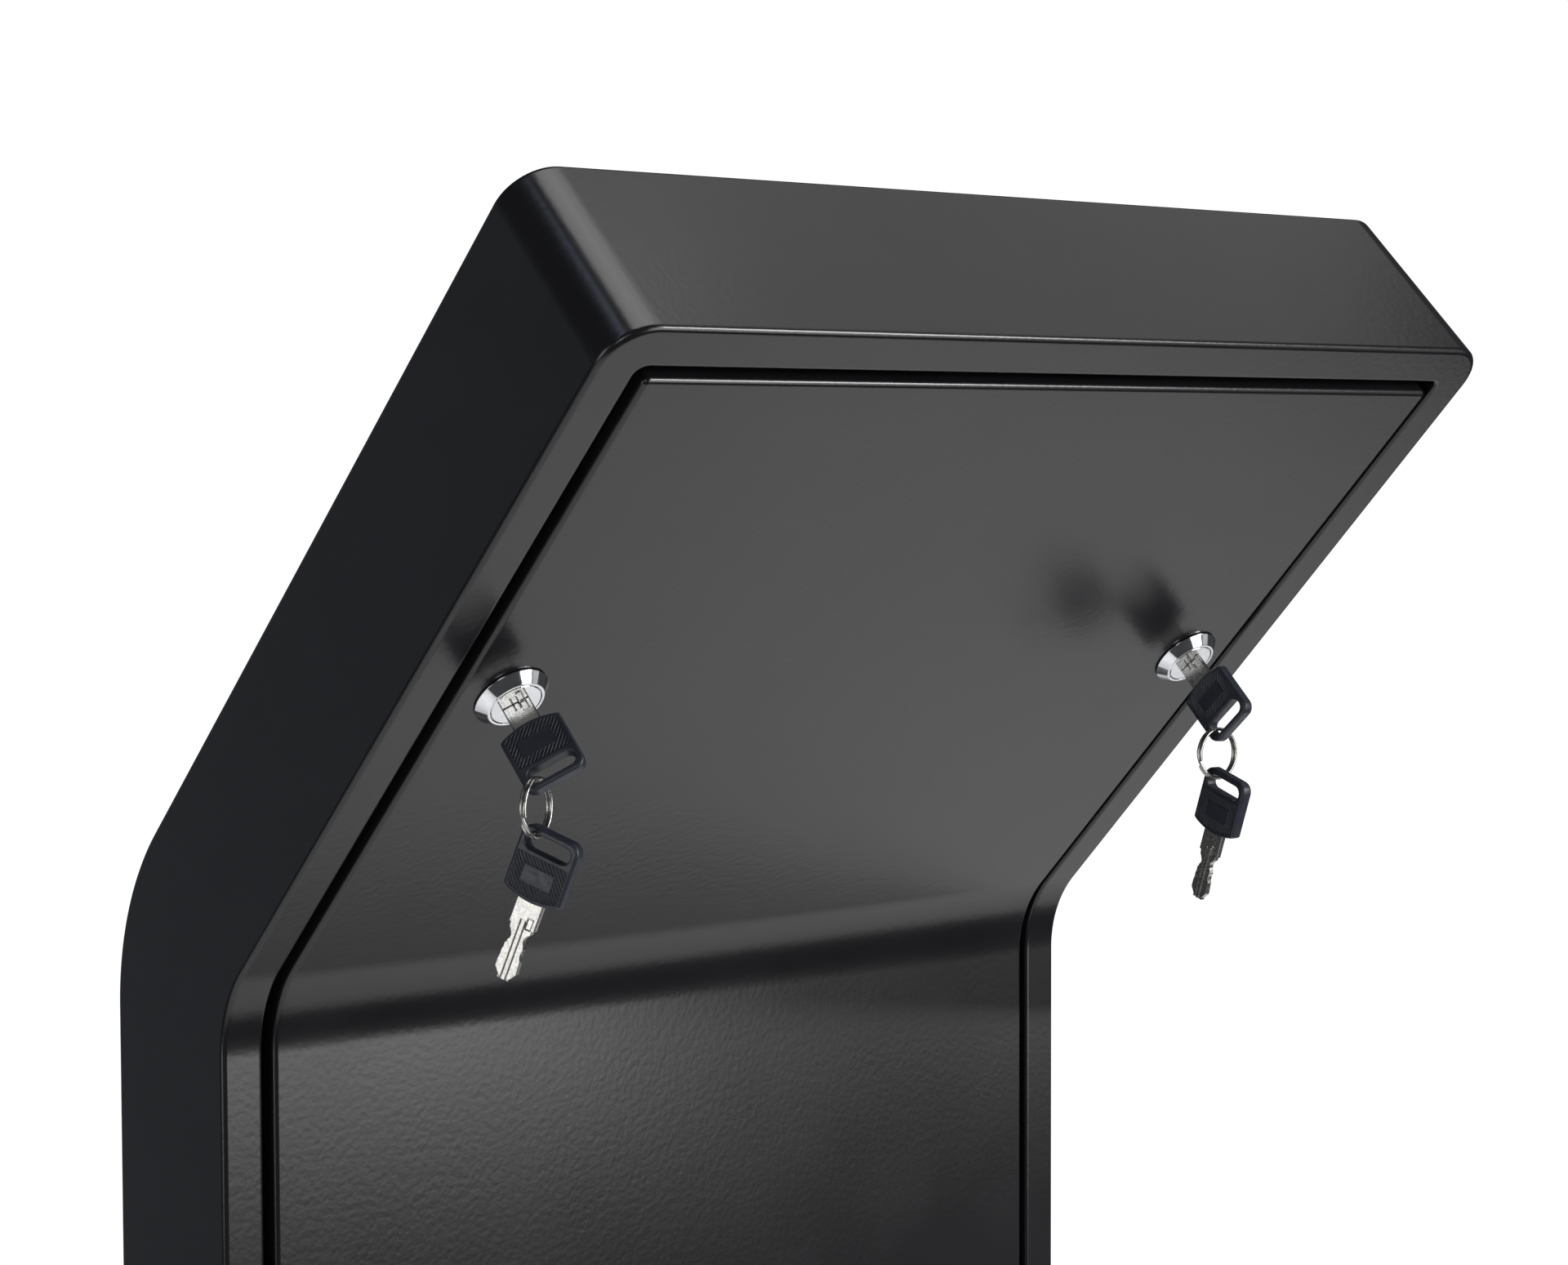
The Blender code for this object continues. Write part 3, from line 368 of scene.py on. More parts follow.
def chrome_plate():
    """Polished chrome with fine buffing marks and a breath of haze."""
    material, nodes, links, shader = new_material("chrome_plate", 0.08, 1.0)
    spread_colours(
        nodes, links, noise(nodes, links, 300, 3), (0.70, 0.71, 0.73), (0.80, 0.81, 0.82),
        shader.inputs["Base Color"],
    )
    spread_values(nodes, links, noise(nodes, links, 900, 3), 0.05, 0.12, shader.inputs["Roughness"])
    bump(nodes, links, noise(nodes, links, 2500, 2, (1, 1, 0.2)), 0.000002, shader)
    return material


def nickel_plate():
    """Warm nickel over stamped brass, with a fine tumbled grain."""
    material, nodes, links, shader = new_material("nickel_plate", 0.2, 1.0)
    spread_colours(
        nodes, links, noise(nodes, links, 450, 4), (0.50, 0.49, 0.465), (0.58, 0.57, 0.55),
        shader.inputs["Base Color"],
    )
    spread_values(nodes, links, noise(nodes, links, 1200, 3), 0.2, 0.34, shader.inputs["Roughness"])
    bump(nodes, links, noise(nodes, links, 2600, 3), 0.0000015, shader)
    return material


def zinc_plate():
    """Bright zinc with a faint blue and yellow cloud over rolled steel."""
    material, nodes, links, shader = new_material("zinc_plate", 0.32, 1.0)
    spread_colours(
        nodes, links, noise(nodes, links, 160, 5), (0.46, 0.47, 0.48), (0.62, 0.61, 0.57),
        shader.inputs["Base Color"],
    )
    spread_values(nodes, links, noise(nodes, links, 500, 3), 0.25, 0.42, shader.inputs["Roughness"])
    bump(nodes, links, noise(nodes, links, 1500, 2, (0.15, 1, 1)), 0.000006, shader)
    return material


def bow_plastic():
    """Moulded black plastic with a blue cast and a fine spark-eroded grain."""
    material, nodes, links, shader = new_material("bow_plastic", 0.38)
    spread_colours(
        nodes, links, noise(nodes, links, 220, 4), (0.022, 0.025, 0.036), (0.030, 0.034, 0.048),
        shader.inputs["Base Color"],
    )
    spread_values(nodes, links, noise(nodes, links, 600, 3), 0.3, 0.46, shader.inputs["Roughness"])
    bump(nodes, links, noise(nodes, links, 3200, 3), 0.00002, shader)
    return material


def buffer_rubber():
    """Dull black rubber with a dusty grain."""
    material, nodes, links, shader = new_material("buffer_rubber", 0.8)
    spread_colours(
        nodes, links, noise(nodes, links, 300, 4), (0.012, 0.012, 0.012), (0.026, 0.025, 0.024),
        shader.inputs["Base Color"],
    )
    spread_values(nodes, links, noise(nodes, links, 400, 2), 0.7, 0.9, shader.inputs["Roughness"])
    bump(nodes, links, noise(nodes, links, 1800, 3), 0.00003, shader)
    return material


# Mesh tools


def grid(points, wrap_rows=False, wrap_columns=False):
    """Quads between neighbours of a (rows, columns, 3) array, as (points, faces)."""
    rows, columns = points.shape[:2]
    index = np.arange(rows * columns).reshape(rows, columns)
    if wrap_rows:
        index = np.vstack([index, index[:1]])
    if wrap_columns:
        index = np.hstack([index, index[:, :1]])
    quads = np.stack([index[:-1, :-1], index[:-1, 1:], index[1:, 1:], index[1:, :-1]], axis=-1)
    return points.reshape(-1, 3), quads.reshape(-1, 4)


def new_mesh_object(name, shells):
    """One object from several (points, quads) shells: doubles merged, faces turned outwards, smooth."""
    starts = np.cumsum([0] + [len(points) for points, _ in shells])
    points = np.concatenate([points for points, _ in shells])
    quads = np.concatenate([quads + start for (_, quads), start in zip(shells, starts)])
    mesh = bpy.data.meshes.new(name)
    mesh.from_pydata(points.tolist(), [], quads.tolist())
    shape = bmesh.new()
    shape.from_mesh(mesh)
    bmesh.ops.remove_doubles(shape, verts=shape.verts, dist=1e-7)
    bmesh.ops.dissolve_degenerate(shape, edges=shape.edges, dist=1e-8)
    bmesh.ops.recalc_face_normals(shape, faces=shape.faces)
    shape.to_mesh(mesh)
    shape.free()
    mesh.shade_smooth()
    mesh.set_sharp_from_angle(angle=SMOOTH_ANGLE)
    obj = bpy.data.objects.new(name, mesh)
    bpy.context.scene.collection.objects.link(obj)
    return obj


def finish_piece(obj, look, node):
    """Gives the piece its finish and lets it stand for a frame node, on that node's body."""
    slot, material = look
    obj.data.materials.clear()
    obj.data.materials.append(material)
    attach(obj, BODY_OF[node])
    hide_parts(node)


def moved(points, turn, place):
    """Points turned by a matrix and then shifted."""
    return points @ np.array(turn).T + np.array(place)


def turned(profile, steps=96):
    """A profile of (radius, height) pairs carried round local Z. Radius 0 closes a pole."""
    profile = np.array(profile)
    turns = np.linspace(0, 2 * pi, steps, endpoint=False)
    radius = profile[:, :1]
    height = np.repeat(profile[:, 1:], steps, axis=1)
    return np.stack([radius * np.cos(turns), radius * np.sin(turns), height], axis=-1)


def fillets(corners, steps=6, margin=0.0001):
    """A closed profile with its corners rounded: each corner (a, b, radius) becomes an arc tangent to
    both its sides, with one more point a margin outside each tangent point to keep the flats flat."""
    points = np.array([corner[:2] for corner in corners], float)
    radii = [corner[2] for corner in corners]
    before = np.roll(points, 1, axis=0) - points
    after = np.roll(points, -1, axis=0) - points
    pieces = []
    for point, radius, back, ahead in zip(points, radii, before, after):
        back = back / np.linalg.norm(back)
        ahead = ahead / np.linalg.norm(ahead)
        inner = np.arccos(back @ ahead)
        reach = radius / tan(inner / 2)
        start = point + back * reach
        end = point + ahead * reach
        middle = back + ahead
        centre = point + middle / np.linalg.norm(middle) * radius / sin(inner / 2)
        sweep = pi - inner
        share = np.linspace(0, 1, steps + 1)[:, None]
        first = np.sin((1 - share) * sweep) * (start - centre)
        second = np.sin(share * sweep) * (end - centre)
        pieces.append([start + back * margin])
        pieces.append(centre + (first + second) / sin(sweep))
        pieces.append([end + ahead * margin])
    return np.concatenate(pieces)


def cut_with(obj, shells):
    """Subtracts closed shells from a closed piece, and keeps the result as its mesh."""
    cutter = new_mesh_object("cutter", shells)
    modifier = obj.modifiers.new("cut", "BOOLEAN")
    modifier.object = cutter
    modifier.solver = "EXACT"
    graph = bpy.context.evaluated_depsgraph_get()
    mesh = bpy.data.meshes.new_from_object(obj.evaluated_get(graph))
    obj.modifiers.clear()
    mesh.name = obj.name
    obj.data = mesh
    bpy.data.objects.remove(cutter)
    mesh.shade_smooth()
    mesh.set_sharp_from_angle(angle=SMOOTH_ANGLE)


def cylinder(radius, low, high, steps=48):
    """A closed cylinder about local Z, its two caps pinched to poles."""
    return turned([(0, low), (radius, low), (radius, high), (0, high)], steps)


def loop(corners, count):
    """A closed outline walked at an even pace: count points from the first corner round to it again."""
    corners = np.array(corners, float)
    ahead = np.vstack([corners[1:], corners[:1]])
    lengths = np.linalg.norm(ahead - corners, axis=1)
    walked = np.concatenate([[0], np.cumsum(lengths)])
    paces = np.linspace(0, walked[-1], count, endpoint=False)
    closed = np.vstack([corners, corners[:1]])
    return np.column_stack([np.interp(paces, walked, closed[:, axis]) for axis in (0, 1)])


def circle_loop(radius, count):
    """A circle walked from its right side: radius times the cosine and the sine of each turn."""
    turns = np.linspace(0, 2 * pi, count, endpoint=False)
    return radius * np.column_stack([np.cos(turns), np.sin(turns)])


def rectangle_loop(half_x, half_y, count):
    """A rectangle walked from the middle of its right side."""
    corners = [(half_x, 0), (half_x, half_y), (-half_x, half_y), (-half_x, -half_y), (half_x, -half_y)]
    return loop(corners, count)


def stacked(rows):
    """Loops at their heights, as rows of a grid. A height may be a number or one for each point."""
    return np.stack([
        np.column_stack([flat, np.broadcast_to(height, len(flat))]) for flat, height in rows
    ])


# The bent body


def body_points(x, station, depth):
    """The upright part, then a bend about a level axis whose radius grows with depth, then the head.
    Where the bend at that depth reaches further than the front one, points of the straight parts wait
    just behind its end, kept in order by a small creep."""
    creep = 0.02
    x, station, depth = np.broadcast_arrays(x, station, depth)
    radius = FRONT_BEND_RADIUS + (REAR_BEND_RADIUS - FRONT_BEND_RADIUS) * depth / DEPTH
    lead = (FRONT_BEND_RADIUS + depth - radius) * tan(LEAN / 2)
    turn = np.clip(station, 0, 1) * LEAN
    bend_y = depth - DEPTH - radius * (1 - np.cos(turn))
    bend_z = BEND_START + lead + radius * np.sin(turn)
    low_z = BEND_START + np.minimum(station, lead + station * creep)
    along = np.maximum(station - 1, lead + (station - 1) * creep)
    head_y = -DEPTH - FRONT_BEND_RADIUS * (1 - cos(LEAN)) - along * sin(LEAN) + depth * cos(LEAN)
    head_z = BEND_START + FRONT_BEND_RADIUS * sin(LEAN) + along * cos(LEAN) + depth * sin(LEAN)
    y = np.where(station < 0, depth - DEPTH, np.where(station > 1, head_y, bend_y))
    z = np.where(station < 0, low_z, np.where(station > 1, head_z, bend_z))
    return np.stack([x, y, z], axis=-1)


def head_point(x, along, depth):
    """A point on the straight head, so far along it from the bend."""
    return Vector(body_points(x, 1 + along, depth))


def half_outline(half_width, low, high, radius):
    """The right half of a rounded rectangle wrapped over the bend: columns of x and station. A point a
    margin outside each round stretch keeps the flats flat."""
    corner_steps = 14
    bend_steps = 40
    margin = 0.0004
    x = half_width - radius
    start = -LOWER_LENGTH + low + radius
    end = 1 + HEAD_LENGTH - high - radius
    lower = np.linspace(-pi / 2, 0, corner_steps + 1)
    upper = np.linspace(0, pi / 2, corner_steps + 1)
    bend = np.linspace(0, 1, bend_steps + 1)
    edge = np.full(bend_steps + 1, half_width)
    columns = [
        [(x - margin, start - radius)],
        np.column_stack([x + radius * np.cos(lower), start + radius * np.sin(lower)]),
        [(half_width, start + margin), (half_width, -margin)],
        np.column_stack([edge, bend]),
        [(half_width, 1 + margin), (half_width, end - margin)],
        np.column_stack([x + radius * np.cos(upper), end + radius * np.sin(upper)]),
        [(x - margin, end + radius)],
    ]
    return np.concatenate(columns)


def body_ring(half_width, low, high, radius, depth):
    """One closed ring round the body: up its right side and down its left."""
    half = half_outline(half_width, low, high, radius)
    x = np.concatenate([half[:, 0], -half[::-1, 0]])
    station = np.concatenate([half[:, 1], half[::-1, 1]])
    return body_points(x, station, depth)


def capped(rings):
    """A bent plate: its rings, and at both ends strips between each point and its mirrored one."""
    rings = np.stack(rings)
    count = rings.shape[1]
    half = count // 2
    first = np.arange(half - 1)
    caps = [
        np.column_stack([first, first + 1, count - 2 - first, count - 1 - first]) + start
        for start in (0, (len(rings) - 1) * count)
    ]
    points, quads = grid(rings, wrap_columns=True)
    return points, np.concatenate([quads, *caps])


def panel_screw_places():
    """The name, place and tilt of each screw through the rear flange, from the inside outwards."""
    upright = Euler((-radians(90), 0, 0)).to_matrix()
    lead = (FRONT_BEND_RADIUS + DEPTH - REAR_BEND_RADIUS) * tan(LEAN / 2)
    lower = (BOTTOM + PANEL_SCREW_END_MARGIN, BEND_START - PANEL_SCREW_END_MARGIN)
    upper = (lead + PANEL_SCREW_END_MARGIN, HEAD_LENGTH - PANEL_SCREW_END_MARGIN)
    for side, sign in SIDES.items():
        x = sign * PANEL_SCREW_X
        for number, height in enumerate(lower, start=1):
            yield f"panel_screw_{side}_{number}", Vector((x, 0, height)), upright
        for number, along in enumerate(upper, start=3):
            yield f"panel_screw_{side}_{number}", head_point(x, along, DEPTH), HEAD_REAR_TILT


def screw_hole_cutters():
    """A cylinder through the rear flange and the panel at each screw."""
    hole = cylinder(PANEL_SCREW_RADIUS + FIT_GAP, -4 * SHEET, SHEET, 24)
    return [
        grid(moved(hole, turn, place), wrap_columns=True)
        for _, place, turn in panel_screw_places()
    ]


def make_casing(coat):
    """The hooked section of rim, return, wall and rear flange, carried round the wrapped outline. The
    outline's corner radius falls evenly from the outer edge to the opening."""
    section = fillets([
        (0, 0, FOLD_RADIUS),
        (RIM_WIDTH, 0, RIM_FOLD_RADIUS),
        (RIM_WIDTH, RIM_RETURN, CUT_EDGE),
        (RIM_WIDTH - SHEET, RIM_RETURN, CUT_EDGE),
        (RIM_WIDTH - SHEET, SHEET, CUT_EDGE),
        (SHEET, SHEET, FOLD_RADIUS - SHEET),
        (SHEET, DEPTH - SHEET, FOLD_RADIUS - SHEET),
        (REAR_FLANGE, DEPTH - SHEET, CUT_EDGE),
        (REAR_FLANGE, DEPTH, CUT_EDGE),
        (0, DEPTH, FOLD_RADIUS),
    ])
    rings = []
    for inset, depth in section:
        radius = CORNER_RADIUS + (OPENING_CORNER_RADIUS - CORNER_RADIUS) * inset / RIM_WIDTH
        rings.append(body_ring(WIDTH / 2 - inset, inset, inset, radius, depth))
    casing = new_mesh_object("casing_skin", [grid(np.stack(rings), True, True)])
    cut_with(casing, screw_hole_cutters())
    finish_piece(casing, coat, "casing_shell")


def make_door(coat):
    """The bent pan: a face with rolled edges and shallow walls, hollow behind, with two lock holes. Its
    section starts and ends on the flats, so the corner points that only close the profile are dropped."""
    low = RIM_WIDTH + HINGE_GAP
    high = RIM_WIDTH + DOOR_GAP
    back = SHEET - DOOR_PROUD
    inner_edge = 0.01
    steps = 8
    section = fillets([
        (inner_edge, -DOOR_PROUD, CUT_EDGE),
        (0, -DOOR_PROUD, DOOR_FOLD_RADIUS),
        (0, DOOR_PAN_DEPTH, CUT_EDGE),
        (SHEET, DOOR_PAN_DEPTH, CUT_EDGE),
        (SHEET, back, CUT_EDGE),
        (inner_edge, back, CUT_EDGE),
    ], steps)
    points_per_corner = steps + 3
    section = section[points_per_corner:-points_per_corner]
    rings = []
    for inset, depth in section:
        radius = max(DOOR_CORNER_RADIUS - inset, DOOR_CORNER_RADIUS / 4)
        rings.append(body_ring(DOOR_HALF_WIDTH - inset, low + inset, high + inset, radius, depth))
    door = new_mesh_object("door_skin", [capped(rings)])
    hole = cylinder(BARREL_RADIUS + FIT_GAP, -2 * SHEET, 2 * SHEET, 64)
    places = [head_point(sign * LOCK_X, LOCK_UP_HEAD, 0) for sign in SIDES.values()]
    cut_with(door, [grid(moved(hole, HEAD_TILT, place), wrap_columns=True) for place in places])
    finish_piece(door, coat, "door_panel")


# Pieces that keep the frame's shape


def soften(node, look, width=0.0003):
    """A copy of a frame node with its flat faces made whole and its edges bevelled."""
    mesh = frame["nodes"][node].data.copy()
    shape = bmesh.new()
    shape.from_mesh(mesh)
    bmesh.ops.remove_doubles(shape, verts=shape.verts, dist=1e-6)
    bmesh.ops.dissolve_limit(
        shape, angle_limit=radians(0.5), verts=shape.verts, edges=shape.edges
    )
    shape.to_mesh(mesh)
    shape.free()
    obj = bpy.data.objects.new(f"{node}_finished", mesh)
    bpy.context.scene.collection.objects.link(obj)
    mesh.shade_smooth()
    mesh.set_sharp_from_angle(angle=SMOOTH_ANGLE)
    bevel = obj.modifiers.new("soft_edges", "BEVEL")
    bevel.width = width
    bevel.segments = 2
    bevel.limit_method = "ANGLE"
    bevel.angle_limit = radians(40)
    bevel.harden_normals = True
    finish_piece(obj, look, node)


def make_rear_panel(coat):
    """The bent sheet behind, with the letter slot, four wall holes and the screw holes cut through it."""
    inset = SHEET + FIT_GAP
    edge = 0.0002
    rings = [
        body_ring(WIDTH / 2 - inset - back, inset + back, inset + back, CORNER_RADIUS - back, depth)
        for back, depth in (
            (edge, PANEL_FRONT), (0, PANEL_FRONT + edge), (0, PANEL_BACK - edge), (edge, PANEL_BACK)
        )
    ]
    panel = new_mesh_object("rear_panel_skin", [capped(rings)])
    middle = (0, -SLOT_HEIGHT / 2)
    slot = rectangle_loop(SLOT_WIDTH / 2, SLOT_HEIGHT / 2, 64) + middle
    reach = 2 * (DEPTH - PANEL_FRONT)
    slot_rows = [(slot * 0 + middle, -reach), (slot, -reach), (slot, reach), (slot * 0 + middle, reach)]
    slot_place = head_point(0, HEAD_LENGTH - SLOT_BELOW_TOP, DEPTH)
    shells = [grid(moved(stacked(slot_rows), HEAD_REAR_TILT, slot_place), wrap_columns=True)]
    hole = cylinder(WALL_HOLE_RADIUS, -DEPTH / 4, DEPTH / 4, 32)
    through = Euler((radians(90), 0, 0)).to_matrix()
    for height in WALL_HOLE_HEIGHTS:
        for sign in SIDES.values():
            place = (sign * WALL_HOLE_SPREAD, 0, height)
            shells.append(grid(moved(hole, through, place), wrap_columns=True))
    cut_with(panel, shells + screw_hole_cutters())
    finish_piece(panel, coat, "rear_panel")


def screw_shell(head_radius, head_height, shank_radius, under_head, end, steps=64):
    """A pan-head screw: a domed head with a cross recess, a flat under it, and a threaded shank. The dome
    falls with the square of the radius. The recess is as deep as the smaller of its distances in."""
    shares = np.linspace(0, 1, 15)[:, None]
    turns = np.linspace(0, 2 * pi, steps, endpoint=False)
    radius = shares * head_radius
    x = radius * np.cos(turns)
    y = radius * np.sin(turns)
    arm = np.minimum(np.abs(x), np.abs(y))
    reach = np.maximum(np.abs(x), np.abs(y))
    width = head_radius * 0.13
    length = head_radius * 0.52
    inside = np.clip((width - arm) / width * 2.5, 0, 1) * np.clip((length - reach) / width, 0, 1)
    top = under_head - head_height + head_height * 0.45 * shares**2 + inside * head_height * 0.5
    dome = np.stack([x, y, top], axis=-1)
    profile = [(head_radius, under_head), (shank_radius, under_head)]
    pitch = shank_radius * 0.45
    core_radius = shank_radius * 0.84
    for k in range(int((end - under_head) / pitch) - 1):
        base = under_head + k * pitch
        profile += [(core_radius, base + pitch / 2), (shank_radius, base + pitch)]
    profile += [(0.8 * shank_radius, end), (0, end)]
    return grid(np.concatenate([dome, turned(profile, steps)]), wrap_columns=True)


def make_panel_screws(zinc):
    """The same screw at each of the eight places."""
    under_head = -(DEPTH - PANEL_FRONT) - FIT_GAP
    points, quads = screw_shell(
        PANEL_SCREW_HEAD_RADIUS, PANEL_SCREW_HEAD, PANEL_SCREW_RADIUS, under_head, -FIT_GAP, 32
    )
    for node, place, turn in panel_screw_places():
        screw = new_mesh_object(f"{node}_threaded", [(moved(points, turn, place), quads)])
        finish_piece(screw, zinc, node)


# Locks


def lock_frame(side):
    """The lock's turn and place on the head: local Y up the head, local Z outwards."""
    return HEAD_TILT, head_point(SIDES[side] * LOCK_X, LOCK_UP_HEAD, 0)


def plug_turn(side):
    """The head's tilt, then the angle at which the key stands in its lock."""
    return HEAD_TILT @ Matrix.Rotation(KEY_TURN[side], 3, "Z")


def make_lock_housing(side, chrome):
    """The barrel and its bezel: a turned profile with a bright cone between two small chamfers."""
    recess = PLUG_FACE_RADIUS + PLUG_CLEARANCE
    bore = PLUG_RADIUS + PLUG_CLEARANCE
    seat = BEZEL_FACE - PLUG_FACE_DEPTH - PLUG_CLEARANCE
    profile = fillets([
        (BARREL_RADIUS, -BARREL_LENGTH, 0.0004),
        (BARREL_RADIUS, BEZEL_BASE, 0.0001),
        (BEZEL_RADIUS, BEZEL_BASE, 0.0001),
        (BEZEL_RADIUS, BEZEL_BASE + 0.00044, 0.0002),
        (BEZEL_FACE_RADIUS, BEZEL_FACE, 0.0003),
        (recess, BEZEL_FACE, 0.00008),
        (recess, seat, 0.0001),
        (bore, seat, 0.0001),
        (bore, -BARREL_LENGTH, 0.0003),
    ], steps=4, margin=0.00004)
    points = moved(turned(profile, 128), *lock_frame(side))
    housing = new_mesh_object(f"lock_bezel_{side}", [grid(points, True, True)])
    finish_piece(housing, chrome, f"lock_housing_{side}")


def make_lock_plug(side, chrome):
    """The plug as loops from the bottom of its keyway, up to the face, out to its edge, and back down to
    the square end that carries the cam and is bored for its screw."""
    count = 128
    face = BEZEL_FACE
    edge = 0.0002
    end = -BARREL_LENGTH - FIT_GAP
    key_tip = KEY_STAND_OFF - BLADE_LENGTH - 2 * PLUG_CLEARANCE
    keyway_x = BLADE_WIDTH / 2 + PLUG_CLEARANCE
    keyway_y = BLADE_THICKNESS / 2 + PLUG_CLEARANCE
    keyway = rectangle_loop(keyway_x, keyway_y, count)
    mouth = rectangle_loop(keyway_x + edge, keyway_y + edge, count)
    spigot = rectangle_loop(SPIGOT_SIZE / 2, SPIGOT_SIZE / 2, count)
    bore = circle_loop(CAM_SCREW_RADIUS + PLUG_CLEARANCE, count)
    rows = [
        (keyway * (1, 0), key_tip),
        (keyway, key_tip),
        (keyway, face - edge),
        (mouth, face),
        (circle_loop(PLUG_FACE_RADIUS - edge, count), face),
        (circle_loop(PLUG_FACE_RADIUS, count), face - edge),
        (circle_loop(PLUG_FACE_RADIUS, count), face - PLUG_FACE_DEPTH),
        (circle_loop(PLUG_RADIUS, count), face - PLUG_FACE_DEPTH),
        (circle_loop(PLUG_RADIUS, count), end),
        (spigot, end),
        (spigot, -CAM_BACK),
        (bore, -CAM_BACK),
        (bore, CAM_SCREW_LENGTH - CAM_BACK),
        (bore * 0, CAM_SCREW_LENGTH - CAM_BACK),
    ]
    _, place = lock_frame(side)
    points = moved(stacked(rows), plug_turn(side), place)
    plug = new_mesh_object(f"lock_face_{side}", [grid(points, wrap_columns=True)])
    finish_piece(plug, chrome, f"lock_plug_{side}")


def make_cam_screw(side, zinc):
    """The screw that holds the cam on the plug's square end, from behind."""
    under_head = -CAM_BACK - FIT_GAP
    points, quads = screw_shell(
        CAM_SCREW_HEAD_RADIUS, CAM_SCREW_HEAD, CAM_SCREW_RADIUS, under_head,
        under_head + CAM_SCREW_LENGTH,
    )
    _, place = lock_frame(side)
    points = moved(points, plug_turn(side), place)
    screw = new_mesh_object(f"cam_screw_{side}_threaded", [(points, quads)])
    finish_piece(screw, zinc, f"cam_screw_{side}")


# Keys


def arc_points(centre, radius, start, end, steps):
    """Points on an arc: the centre plus the radius times the cosine and the sine of each turn."""
    turns = np.linspace(start, end, steps + 1)
    return np.column_stack([centre[0] + radius * np.cos(turns), centre[1] + radius * np.sin(turns)])


def bow_loop(count):
    """The bow's outline from the middle of its arched end: two rounded far corners, straight sides."""
    half = BOW_WIDTH / 2
    far = BOW_LENGTH - BOW_CORNER_RADIUS
    corner = half - BOW_CORNER_RADIUS
    arch_radius = (half**2 + BOW_ARCH**2) / (2 * BOW_ARCH)
    spread = np.arctan2(half, arch_radius - BOW_ARCH)
    near_radius = 0.001
    blunt = np.arcsin((half - near_radius) / arch_radius)
    right = [
        arc_points((0, arch_radius), arch_radius, -pi / 2, -pi / 2 + blunt, 24),
        arc_points(
            (half - near_radius, BOW_ARCH + 0.75 * near_radius), near_radius, -pi / 2 + spread, 0, 8
        ),
        arc_points((corner, far), BOW_CORNER_RADIUS, 0, pi / 2, 24),
    ]
    right = np.concatenate(right)
    left = right[:0:-1] * (-1, 1)
    return loop(np.concatenate([right, left]), count)


def slot_loop(count):
    """A slot with round ends, walked from the middle of its side nearest the blade."""
    radius = BOW_SLOT_HEIGHT / 2
    end = BOW_SLOT_LENGTH / 2 - radius
    corners = np.concatenate([
        [(0, BOW_SLOT_CENTRE - radius)],
        arc_points((end, BOW_SLOT_CENTRE), radius, -pi / 2, pi / 2, 24),
        arc_points((-end, BOW_SLOT_CENTRE), radius, pi / 2, 1.5 * pi, 24),
    ])
    return loop(corners, count)


def rectangle_distance(x, z, half_x, half_z):
    """How far outside a rectangle about the origin each point is, negative inside."""
    out_x = np.abs(x) - half_x
    out_z = np.abs(z) - half_z
    outside = np.hypot(np.maximum(out_x, 0), np.maximum(out_z, 0))
    return outside + np.minimum(np.maximum(out_x, out_z), 0)


def slot_distance(x, z):
    """How far outside the slot each point is: its distance to the slot's middle line, less the radius."""
    end = BOW_SLOT_LENGTH / 2 - BOW_SLOT_HEIGHT / 2
    across = np.maximum(np.abs(x) - end, 0)
    return np.hypot(across, z - BOW_SLOT_CENTRE) - BOW_SLOT_HEIGHT / 2


def edge_distance(x, z, outline):
    """The shortest distance to the corners of a finely walked outline."""
    flat = np.stack([x.ravel(), z.ravel()], axis=1)
    gaps = np.linalg.norm(flat[:, None] - outline[None], axis=2)
    return gaps.min(axis=1).reshape(x.shape)


def rounded_off(distance, radius):
    """How much a quarter-round edge takes off at a distance in from it."""
    inside = np.clip(radius - distance, 0, radius)
    return radius - np.sqrt(radius**2 - inside**2)


def bow_height(x, z, outline):
    """Half the bow's thickness at each point of its face: a plain border and a plain plaque, oblique
    round-topped ribs in the field between them, and rounded edges outside and round the slot."""
    edge = edge_distance(x, z, outline)
    slot = slot_distance(x, z)
    plaque = rectangle_distance(x, z - PLAQUE_CENTRE, PLAQUE_SIZE[0] / 2, PLAQUE_SIZE[1] / 2)
    near_slot = BOW_SLOT_CENTRE - BOW_SLOT_HEIGHT / 2 - BOW_BORDER
    step = 0.0002
    field = np.clip((edge - BOW_BORDER) / step, 0, 1) * np.clip((near_slot - z) / step, 0, 1)
    field = field * np.clip((plaque - step) / step, 0, 1)
    wave = np.cos(2 * pi * (x * cos(RIB_SLANT) + z * sin(RIB_SLANT)) / RIB_PITCH)
    groove = 0.5 - 0.5 * np.clip(wave * 1.6, -1, 1)
    height = BOW_THICKNESS / 2 - field * RIB_DEPTH * (0.15 + 0.85 * groove)
    height = height - PLAQUE_DEPTH * (plaque < 0)
    return height - rounded_off(edge, BOW_EDGE_RADIUS) - rounded_off(slot, BOW_LIP_RADIUS)


def bow_shell():
    """A closed band: the front face from the outline in to the slot, the slot's wall, the back face out
    again and the outer wall. Rows crowd towards both edges, where the surface turns over."""
    count = 400
    outer = bow_loop(count)
    inner = slot_loop(count)
    even = np.linspace(0, 1, 92)
    crowded = 0.5 - 0.5 * np.cos(pi * even)
    share = (0.35 * crowded + 0.65 * even)[:, None, None]
    flat = outer * (1 - share) + inner * share
    height = bow_height(flat[..., 0], flat[..., 1], loop(outer, 1200))
    front = np.stack([flat[..., 0], -height, flat[..., 1]], axis=-1)
    back = front[::-1] * (1, -1, 1)
    return np.concatenate([front, back])


